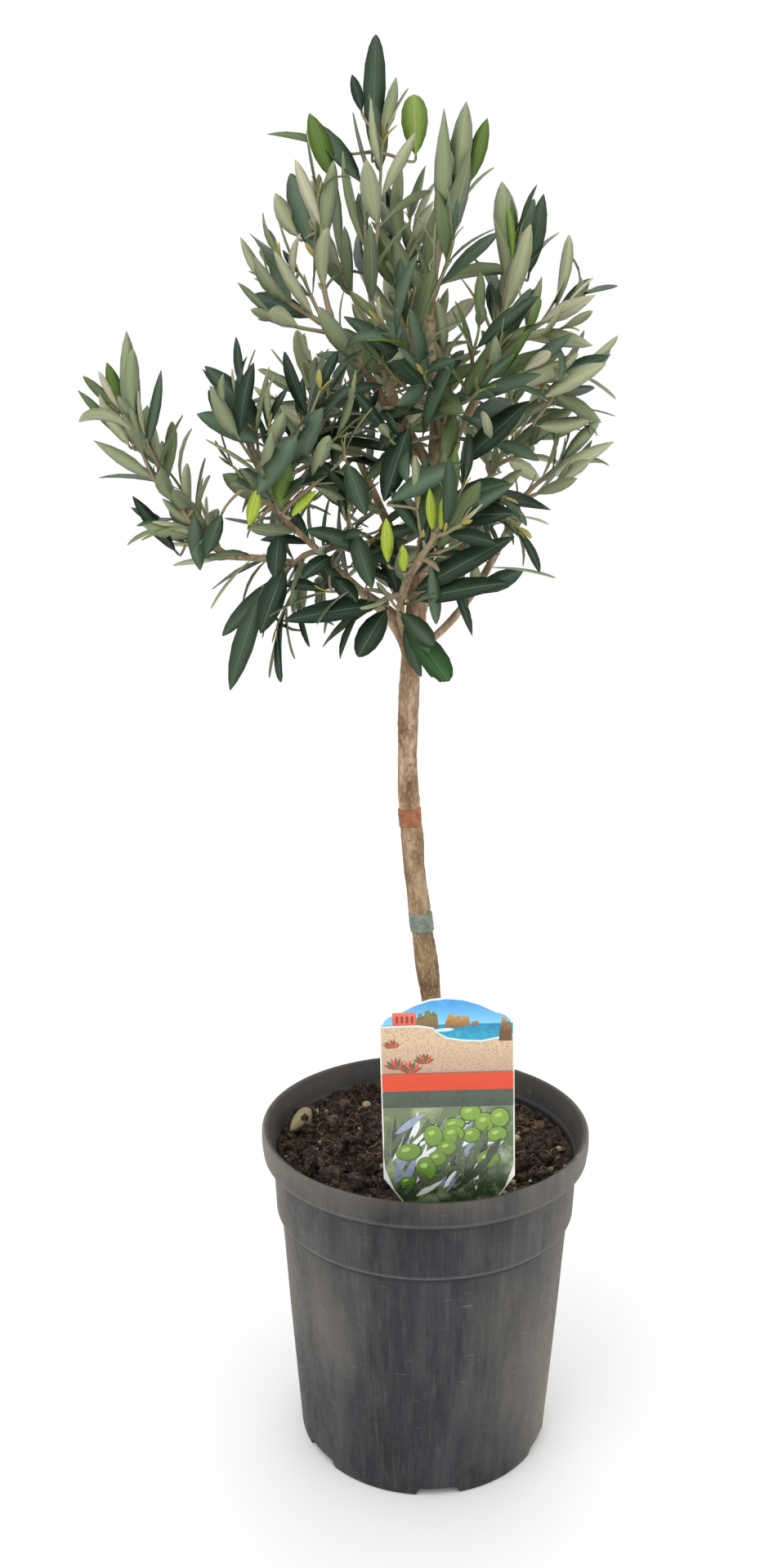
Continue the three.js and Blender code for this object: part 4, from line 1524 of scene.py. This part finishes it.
class MassOutline:
    """The closed solid that a spray has to fill: its ends, its girth, and how far it reaches from a point."""

    def __init__(self, node: str, start: Array) -> None:
        """Measures the solid from the place where its shoots come in."""
        self.points = node_points(node)
        corners = node_triangles(node).reshape(-1, 3)
        self.tree = BVHTree.FromPolygons(corners.tolist(), np.arange(len(corners)).reshape(-1, 3).tolist())
        self.entry = self.points[np.argmin(np.linalg.norm(self.points - start, axis=1))]
        self.far = self.points[np.argmax(np.linalg.norm(self.points - self.entry, axis=1))]
        self.axis = unit(self.far - self.entry)
        self.length = float(np.linalg.norm(self.far - self.entry))

    def near(self, share: float) -> Array:
        """The solid's points in a slice round that share of its length."""
        run = (self.points - self.entry) @ self.axis / self.length
        return self.points[np.argsort(np.abs(run - share))[:24]]

    def middle(self, share: float) -> Array:
        """The middle of the solid at a share of its length."""
        slice_ = self.near(share)
        centre = (slice_.min(axis=0) + slice_.max(axis=0)) / 2
        return centre + self.axis * (share * self.length - (centre - self.entry) @ self.axis)

    def girth(self, share: float) -> float:
        """The solid's mean radius round its middle at a share of its length."""
        offsets = self.near(share) - self.middle(share)
        return float(np.linalg.norm(np.cross(offsets, self.axis), axis=1).mean())

    def room(self, start: Array, direction: Array) -> float:
        """How far it is from a point to the last of the solid's surface that way, or 0 if it isn't met."""
        at, way, reach = Vector(start), Vector(direction), 0.0
        for _ in range(4):
            hit, _, _, distance = self.tree.ray_cast(at, way)
            if hit is None:
                break
            reach += distance
            at = hit + way * TINY
        return reach


def foliage_on(
    shoot: Limb,
    habit: Habit,
    bare: float,
    rng: np.random.Generator,
    outline: MassOutline | None = None,
) -> Leaves:
    """Pairs of leaves along a shoot, each pair square to the last, standing closer to the shoot at its tip.

    Args:
        shoot: The shoot that bears them.
        habit: How they sit on it.
        bare: The share of the shoot, from its foot, that has none.
        rng: The seeded random numbers.
        outline: The mass that their tips stay near to, if there is one.

    Returns:
        The leaves.
    """
    run = shoot.run()
    nodes = np.arange(run[-1], run[-1] * bare, -habit.spacing * rng.uniform(0.9, 1.15))[::-1]
    steps = np.repeat(nodes, 2)[rng.random(2 * len(nodes)) > habit.missing]
    count = len(steps)
    base = along_path(steps, run, shoot.path)
    tangent = unit(along_path(steps, run, unit(np.gradient(shoot.path, axis=0))))
    pair, side = np.divmod(np.arange(count), 2)
    turn = rng.uniform(0, ANY_TURN) + pair * (math.pi / 2 + 0.25) + side * math.pi + rng.normal(0, 0.3, count)
    outward = rotate(unit(np.cross(tangent, [0.31, 0.87, 0.12])), tangent, turn)
    from_tip = np.clip((run[-1] - steps) / habit.tip_zone, 0, 1)
    angle = habit.spread * (0.32 + 0.68 * from_tip) * rng.uniform(0.7, 1.3, count)
    along = tangent * np.cos(angle)[:, None] + outward * np.sin(angle)[:, None]
    along = unit(along + UP * habit.rise + rng.normal(0, 0.1, (count, 3)))
    inward = unit(square_to(tangent, along))
    radial = unit(base * [1, 1, 0])
    light = unit(square_to(UP * 0.55 + radial * 0.85, along))
    turned = np.clip(rng.normal(habit.lit, 0.28, count), 0, 1)[:, None]
    face = unit(square_to(inward * (1 - turned) + light * turned + rng.normal(0, 0.2, (count, 3)), along))
    young = 1 - 0.45 * np.exp(-((run[-1] - steps) / habit.young_zone))
    length = habit.leaf * rng.normal(0.96, 0.2, count).clip(0.5, 1.25) * young
    if outline:
        room = np.array([outline.room(b, a) for b, a in zip(base, along)])
        length = np.minimum(length, np.maximum(room + habit.overhang, 0.62 * habit.leaf))
    curl = np.where(rng.random(count) < habit.curled, rng.uniform(0.7, 1.5, count), 0)
    return Leaves(
        base=base,
        along=along,
        face=face,
        length=length,
        width=(0.7 * length + 0.3 * habit.leaf * young) * rng.uniform(0.19, 0.275, count),
        bend=rng.normal(habit.droop, 0.28, count) + curl,
        twist=rng.normal(0, 0.4, count),
        point=rng.uniform(0.58, 1.0, count),
        upper=pick(habit.palette.upper, 0, count, rng),
        under=pick(habit.palette.under, FIRST_UNDER, count, rng),
    )


def square_to(vectors: Array, axes: Array) -> Array:
    """The part of each vector that is square to its unit axis."""
    return vectors - axes * np.sum(vectors * axes, axis=-1, keepdims=True)


def pick(shares: tuple[float, ...], first: int, count: int, rng: np.random.Generator) -> Array:
    """Tint numbers drawn by their shares, with one tint of the shoot favoured."""
    weights = np.array(shares) / sum(shares)
    favoured = rng.choice(len(shares), p=weights)
    drawn = rng.choice(len(shares), size=count, p=weights)
    return np.where(rng.random(count) < 0.3, favoured, drawn) + first


def bud_leaves(shoot: Limb, rng: np.random.Generator) -> Leaves:
    """Two tiny unopened leaves at the tip of a shoot."""
    heading = shoot.heading(-1)
    side = unit(np.cross(heading, [0.3, 0.8, 0.2]))
    outward = np.stack([side, -side])
    along = unit(heading + outward * 0.22 + rng.normal(0, 0.05, (2, 3)))
    length = rng.uniform(5, 12, 2) * MM
    bud = np.full(2, TINTS.index(Tint.BUD))
    return Leaves(
        base=shoot.path[-1] + 0 * along,
        along=along,
        face=unit(square_to(-outward, along)),
        length=length,
        width=length * 0.24,
        bend=rng.normal(0, 0.3, 2),
        twist=np.zeros(2),
        point=np.ones(2),
        upper=bud,
        under=bud,
    )


def axil_leaves(leaves: Leaves, rng: np.random.Generator) -> Leaves:
    """Tiny new leaves in the angle that some leaves make with their shoot."""
    chosen = np.flatnonzero(rng.random(len(leaves.length)) < 0.42)
    made = Leaves(*[getattr(leaves, f.name)[chosen] for f in fields(Leaves)])
    count = len(chosen)
    lifted = made.along + made.face * rng.uniform(0.3, 1.2, (count, 1))
    made.along = unit(lifted + rng.normal(0, 0.25, (count, 3)))
    made.face = unit(square_to(made.face, made.along))
    made.length = rng.uniform(3.5, 13, count) * MM
    made.width = made.length * rng.uniform(0.2, 0.3, count)
    made.upper = np.where(rng.random(count) < 0.6, TINTS.index(Tint.BUD), made.upper)
    return made


def twig(shoot: Limb, green: bool, spacing: float = 13.5 * MM) -> Shape:
    """A twig's tube, swollen at each joint where leaves stand. A green one is green towards its tip."""
    run = shoot.run()
    joints = 1 + 0.22 * np.maximum(np.cos((run[-1] - run) / spacing * WHOLE_TURN), 0) ** 3
    made = ring_surface(tube_rings(shoot.path, shoot.radii * joints, 7), TINTS.index(Tint.TWIG))
    middles = made.points[np.maximum(made.faces, 0)].mean(axis=1)
    reach = np.linalg.norm(shoot.path[-1] - shoot.path[0])
    far = np.linalg.norm(middles - shoot.path[0], axis=1) > 0.6 * reach
    made.slots = np.where(far & green, TINTS.index(Tint.GREENWOOD), made.slots)
    return made


@dataclass
class SprayGrower:
    """Grows one spray's shoots and leaves by a seeded branching rule."""

    spray: Spray
    bough: Limb
    seed: int

    def __post_init__(self) -> None:
        """Measures the mass from the bough's nearest point, and starts the seeded random numbers."""
        self.rng = np.random.default_rng(self.seed)
        self.node = f"foliage_{self.spray.mass}"
        self.attach = self.bough.nearest(node_points(self.node).mean(axis=0))
        self.outline = MassOutline(self.node, self.bough.path[self.attach])

    def main_shoot(self) -> Limb:
        """The spray's leader, from the bough through the middle of the mass."""
        start = self.bough.path[self.attach]
        out = self.outline
        end = out.middle(self.spray.reach)
        gap = np.linalg.norm(end - start)
        leave = self.bough.heading(self.attach) * gap * 0.8
        arrive = unit(out.axis + UP * self.spray.habit.rise) * gap * 0.7
        base = min(self.bough.radii[self.attach] * 0.95, 2.0 * MM)
        return Limb(hermite(start, leave, end, arrive, 26), np.linspace(base, 0.8 * MM, 26))

    def side_shoot(self, leader: Limb, number: int) -> Limb:
        """A side shoot, from a point on the leader out to its own place in the mass.

        The places go round the axis by the golden angle and up it in even steps.
        """
        share = 0.22 + 0.62 * (number + 0.5) / max(self.spray.shoots, 1)
        out = self.outline
        side = unit(np.cross(out.axis, UP + [0.01, 0, 0]))
        outward = rotate(side, out.axis, np.array(number * GOLDEN_ANGLE + self.seed))
        end = out.middle(share * 0.94) + outward * out.girth(share) * self.rng.uniform(0.5, 0.75)
        foot = int(max(share - 0.3, 0.04) / max(self.spray.reach, share) * (len(leader.path) - 1))
        start = leader.path[foot]
        gap = np.linalg.norm(end - start)
        leave = unit(leader.heading(foot) * 0.7 + outward) * gap * 0.9
        arrive = unit(leader.heading(foot) * 0.8 + outward * 0.5 + UP * self.spray.habit.rise) * gap * 0.6
        radii = np.linspace(min(leader.radii[foot] * 0.8, 1.3 * MM), 0.6 * MM, 18)
        return Limb(hermite(start, leave, end, arrive, 18), radii)

    def grow(self) -> list[Limb]:
        """Grows the spray and places its twigs and its leaves, which together stand for the mass."""
        leader = self.main_shoot()
        shoots = [leader] + [self.side_shoot(leader, k) for k in range(self.spray.shoots)]
        leaves = []
        for number, shoot in enumerate(shoots):
            bare = 0.25 if number else self.spray.bare
            grown = foliage_on(shoot, self.spray.habit, bare, self.rng, self.outline)
            leaves += [grown, axil_leaves(grown, self.rng), bud_leaves(shoot, self.rng)]
        blades = make_piece(f"leaves_{self.spray.mass}", Leaves.join(leaves).shape(), leaf_materials())
        place(blades, "leaves", self.node)
        twigs = Shape.join([twig(s, k > 0) for k, s in enumerate(shoots)])
        place(make_piece(f"twigs_{self.spray.mass}", twigs, leaf_materials()), "bark")
        return shoots


@dataclass(frozen=True)
class LoneLeaf:
    """A leaf that marks the tree's outline. Its base, tip and width are in millimetres."""

    base: tuple[float, float, float]
    tip: tuple[float, float, float]
    width: float
    upper: Tint
    under: Tint = Tint.SAGE
    shows_under: bool = False
    bend: float = 0.25
    twist: float = 0.0
    point: float = 0.85


LONE_LEAVES = [
    LoneLeaf((-30, 2, 712), (-28, 2, 770), 11.5, Tint.DARK, bend=-0.2, point=0.62),
    LoneLeaf((-35, 3, 734), (-40, 3, 752), 6, Tint.DEEP),
    LoneLeaf((-25, 0, 722), (-18, -3, 749), 7, Tint.MOSS, Tint.SAGE, True, 0.9, 0.8),
    LoneLeaf((-34, -4, 698), (-61, -4, 729), 10.5, Tint.SEA, bend=0.35),
    LoneLeaf((-44, -2, 714), (-82, -6, 722), 5, Tint.MOSS, Tint.SILVER, bend=0.7),
    LoneLeaf((-50, -6, 700), (-61, -8, 731), 11, Tint.FRESH, Tint.GRASS, bend=0.3),
    LoneLeaf((-8, 0, 712), (-9, 0, 742), 13.5, Tint.MOSS, Tint.GRASS, True, 0.1, point=0.5),
    LoneLeaf((12, -2, 696), (17, -2, 738), 11, Tint.SEA, Tint.SAGE, True),
    LoneLeaf((19, 4, 700), (28, 4, 732), 9, Tint.FRESH, bend=0.3),
    LoneLeaf((40, -6, 664), (35, -6, 700), 12.5, Tint.SEA, Tint.SAGE, True, -0.2),
    LoneLeaf((50, 2, 655), (57, 2, 696), 9.5, Tint.DARK),
    LoneLeaf((-67, 0, 674), (-79, 0, 696), 10, Tint.MOSS, Tint.SILVER, True, 0.5),
    LoneLeaf((-82, 0, 650), (-97, 0, 675), 6, Tint.MOSS, Tint.SILVER, True, 0.8),
    LoneLeaf((-71, 4, 655), (-88, 4, 669), 9, Tint.FRESH, Tint.GRASS, bend=0.5),
    LoneLeaf((-153, -10, 570), (-155, -10, 628), 10.5, Tint.MOSS, Tint.SAGE, True, -0.2),
    LoneLeaf((-157, -8, 583), (-166, -8, 613), 8, Tint.FRESH, Tint.GRASS, bend=0.4),
    LoneLeaf((-147, -10, 569), (-138, -10, 609), 6, Tint.SEA, bend=-0.4),
    LoneLeaf((-159, -10, 574), (-181, -10, 599), 5, Tint.MOSS, bend=0.5),
    LoneLeaf((-154, -16, 570), (-169, -16, 597), 8.5, Tint.SEA, Tint.SILVER, True, 0.3),
    LoneLeaf((-132, -10, 516), (-155, -10, 546), 8, Tint.DEEP, bend=-0.5),
    LoneLeaf((-86, -30, 500), (-104, -32, 447), 11.5, Tint.DARK, bend=0.35),
    LoneLeaf((-74, -34, 512), (-87, -38, 477), 13.5, Tint.DEEP, bend=0.2),
    LoneLeaf((-83, -34, 576), (-112, -38, 608), 12.5, Tint.DARK, bend=0.5),
    LoneLeaf((-84, -38, 570), (-116, -42, 585), 13, Tint.SEA, bend=0.5),
    LoneLeaf((-75, -48, 538), (-73, -50, 567), 11, Tint.FRESH, Tint.GRASS, bend=0.2),
    LoneLeaf((-91, -50, 530), (-86, -52, 549), 7, Tint.LIME, Tint.LIME, bend=-0.5),
    LoneLeaf((-70, -50, 535), (-57, -52, 548), 5.5, Tint.LIME, Tint.LIME, bend=0.6),
    LoneLeaf((-72, -40, 556), (-54, -44, 588), 13, Tint.SEA, bend=0.4),
    LoneLeaf((-65, -48, 577), (-86, -54, 546), 13, Tint.SEA, bend=0.3),
    LoneLeaf((-11, -30, 582), (-24, -36, 543), 14, Tint.DEEP, bend=0.1),
    LoneLeaf((-43, -40, 563), (-33, -46, 536), 11, Tint.DARK, bend=0.2),
    LoneLeaf((-22, -42, 542), (14, -54, 561), 12.5, Tint.SEA, bend=0.3),
    LoneLeaf((-40, -38, 530), (-30, -44, 500), 11, Tint.DARK, bend=0.2),
    LoneLeaf((-34, -36, 520), (-63, -44, 529), 10, Tint.DARK, bend=0.3),
    LoneLeaf((-50, -36, 516), (-65, -44, 505), 9, Tint.DEEP, bend=0.9),
    LoneLeaf((-51, -34, 506), (-37, -42, 493), 10, Tint.DEEP, bend=0.3),
    LoneLeaf((-77, -36, 528), (-79, -42, 505), 10.5, Tint.DEEP, bend=0.2),
    LoneLeaf((-106, -28, 538), (-115, -30, 516), 9, Tint.DARK, bend=0.3),
    LoneLeaf((-123, -14, 538), (-120, -16, 508), 9, Tint.SEA, bend=0.4),
    LoneLeaf((-22, -34, 492), (-74, -60, 485), 12.5, Tint.DEEP, bend=0.2),
    LoneLeaf((-12, -34, 496), (40, -56, 526), 13, Tint.DEEP, bend=0.15),
    LoneLeaf((-11, -34, 493), (37, -62, 504), 12.5, Tint.DEEP, bend=0.25),
    LoneLeaf((-22, -32, 490), (-37, -48, 466), 13.5, Tint.DEEP, bend=0.4, point=0.62),
    LoneLeaf((-16, -34, 488), (1, -52, 472), 11, Tint.DARK, bend=0.3, point=0.65),
    LoneLeaf((-15, -32, 484), (9, -50, 454), 14.5, Tint.GLOSS, bend=0.3, point=0.5),
    LoneLeaf((-22, -48, 512), (-23, -56, 535), 6.5, Tint.LIME, Tint.LIME),
    LoneLeaf((-14, -48, 508), (-15, -56, 522), 5.5, Tint.LIME, Tint.LIME),
    LoneLeaf((0, -48, 528), (-2, -58, 549), 5.5, Tint.LIME, Tint.LIME),
    LoneLeaf((4, -48, 528), (6, -58, 547), 5.5, Tint.LIME, Tint.LIME, bend=-0.3),
    LoneLeaf((6, -30, 534), (40, -50, 537), 14.5, Tint.DEEP, bend=0.3),
    LoneLeaf((8, -30, 543), (38, -44, 552), 12, Tint.DARK, bend=0.3),
    LoneLeaf((14, -30, 560), (47, -44, 591), 13.5, Tint.DEEP, bend=0.2),
    LoneLeaf((56, -12, 594), (89, -14, 612), 11, Tint.SEA, Tint.SILVER, True, -0.8),
    LoneLeaf((55, 0, 582), (85, -2, 586), 9.5, Tint.SEA, Tint.SILVER, True, 0.6),
    LoneLeaf((66, 0, 608), (92, -2, 617), 8, Tint.DARK, bend=0.2),
    LoneLeaf((36, -14, 600), (72, -18, 614), 10, Tint.MOSS, Tint.SILVER, True, 0.3),
]


def lone_leaves(shoots: list[Limb]) -> tuple[Leaves, list[Limb]]:
    """The leaves of LONE_LEAVES, each with a thin spur from the nearest shoot to its base.

    A blade that bends by b leaves its base at half of b from the line to its tip.

    Args:
        shoots: All the limbs and shoots that could bear them.

    Returns:
        The leaves, and their spurs.
    """

    def column(name: str) -> Array:
        """One of the leaves' fields, as an array."""
        return np.array([getattr(leaf, name) for leaf in LONE_LEAVES])

    base, tip, bend = column("base") * MM, column("tip") * MM, column("bend")
    chord = unit(tip - base)
    side = np.where(column("shows_under"), -1.0, 1.0)[:, None]
    front = unit(square_to(np.array([0.0, -0.85, 0.5]) * side, chord))
    cos, sin = np.cos(bend / 2)[:, None], np.sin(bend / 2)[:, None]
    spurs = []
    everywhere = np.concatenate([s.path for s in shoots])
    headings = np.concatenate([unit(np.gradient(s.path, axis=0)) for s in shoots])
    for start, way in zip(base, chord):
        near = int(np.argmin(np.linalg.norm(everywhere - start, axis=1)))
        gap = float(np.linalg.norm(everywhere[near] - start)) + TINY
        path = hermite(everywhere[near], headings[near] * gap * 0.6, start, way * gap * 0.8, 8)
        spurs.append(Limb(path, np.linspace(0.9, 0.65, 8) * MM))
    leaves = Leaves(
        base=base,
        along=chord * cos + front * sin,
        face=front * cos - chord * sin,
        length=np.linalg.norm(tip - base, axis=1) * (1 + bend**2 / 24),
        width=column("width") * MM,
        bend=bend,
        twist=column("twist"),
        point=column("point"),
        upper=np.array([TINTS.index(leaf.upper) for leaf in LONE_LEAVES]),
        under=np.array([TINTS.index(leaf.under) for leaf in LONE_LEAVES]),
    )
    return leaves, spurs


def grow_crown(limbs: dict[str, Limb]) -> None:
    """Grows every spray, then the leaves that stand on the boughs themselves, then the lone leaves."""
    shoots = []
    for number, spray in enumerate(SPRAYS):
        shoots += SprayGrower(spray, limbs[spray.bough], 100 + number).grow()
    rng = np.random.default_rng(57)
    boughs = {name: limb for name, limb in limbs.items() if name != "trunk"}
    sparse = replace(INNER, spacing=17 * MM, leaf=41 * MM)
    # LOW carries the SHADE palette: painted shade on the dense left boughs.
    leafy = replace(LOW, spacing=8.5 * MM, leaf=39 * MM)
    habits = {name: leafy if name in LEAFY_BOUGHS else sparse for name in boughs}
    grown = Leaves.join([foliage_on(limb, habits[name], 0.36, rng) for name, limb in boughs.items()])
    on_boughs = Leaves.join([grown, axil_leaves(grown, rng)])
    place(make_piece("leaves_on_boughs", on_boughs.shape(), leaf_materials()), "leaves")
    leaves, spurs = lone_leaves(shoots + list(boughs.values()))
    place(make_piece("leaves_lone", leaves.shape(), leaf_materials()), "leaves")
    place(make_piece("spurs", Shape.join([twig(s, False) for s in spurs]), leaf_materials()), "bark")


# ---------------------------------------------------------------- studio
@dataclass(frozen=True)
class Studio:
    """A plain pale floor, soft daylight from all round, and a camera in front, looking a little down."""

    camera_place: tuple = (-0.026, -0.708, 0.536)
    pitch: float = math.radians(11.6)
    lens: float = 30.0
    floor_size: float = 6.0
    lamps: tuple = (
        ("key", (-0.9, -1.0, 1.9), 1.2, 9),
        ("fill", (1.3, -0.8, 1.1), 1.6, 3),
        ("back", (0.3, 1.4, 1.7), 1.4, 5),
    )

    def build(self) -> None:
        """Sets up the floor, the light and the camera."""
        scene = bpy.context.scene
        camera = bpy.data.objects.new("camera", bpy.data.cameras.new("camera"))
        camera.data.lens = self.lens
        camera.data.sensor_width = 36
        camera.location = self.camera_place
        camera.rotation_euler = (math.pi / 2 - self.pitch, 0, 0)
        scene.collection.objects.link(camera)
        scene.camera = camera
        half = self.floor_size / 2
        corners = np.array([[-half, -half, 0], [half, -half, 0], [half, half, 0], [-half, half, 0]])
        square = Shape(corners, np.array([[0, 1, 2, 3]]), np.zeros(1))
        make_piece("floor", square, [self.floor_material()])
        for lamp in self.lamps:
            self.light(*lamp)
        world = bpy.data.worlds.new("daylight")
        world.use_nodes = True
        sky = world.node_tree.nodes["Background"]
        sky.inputs["Color"].default_value = linear("#ffffff")
        sky.inputs["Strength"].default_value = 1.0
        scene.world = world
        scene.view_settings.view_transform = "Standard"

    def floor_material(self) -> Material:
        """Matt white paper with a trace of tooth."""
        made, tree, shader = new_material("white_paper_floor", Base_Color=linear("#fcfcfb"), Roughness=0.9)
        add_bump(tree, shader, noise(tree, 300, Detail=3.0), 0.05 * MM, 0.3)
        return made

    def light(self, name: str, at: tuple, size: float, power: float) -> None:
        """A square soft light aimed at the foot of the crown."""
        lamp = bpy.data.objects.new(name, bpy.data.lights.new(name, "AREA"))
        lamp.data.size = size
        lamp.data.energy = power
        lamp.location = at
        aim = Vector((0, 0, 0.4)) - Vector(at)
        lamp.rotation_euler = aim.to_track_quat("-Z", "Y").to_euler()
        bpy.context.scene.collection.objects.link(lamp)


# ---------------------------------------------------------------- the tree
def main() -> None:
    """Builds the tree round the frame, piece by piece."""
    logging.basicConfig(level=logging.INFO, format="%(message)s")
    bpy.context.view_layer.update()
    Studio().build()
    pot = NurseryPot()
    pot.build()
    CompostBed(pot).build()
    PlantLabel().build()
    wood = Woodwork()
    wood.measure()
    wood.build()
    orange = Tape("orange_tape", ("#7c4a2e", "#985c3c", "#aa7450"), "#a38a6b")
    green = Tape("green_tape", ("#536257", "#6c7b6c", "#879485"), "#aeb8a6")
    TapeBand("band_orange", orange, 0.25 * MM, 0.5 * MM).build(wood.limbs["trunk"])
    TapeBand("band_green", green, 0.45 * MM, 1.2 * MM).build(wood.limbs["trunk"])
    grow_crown(wood.limbs)


if __name__ == "__main__":
    main()
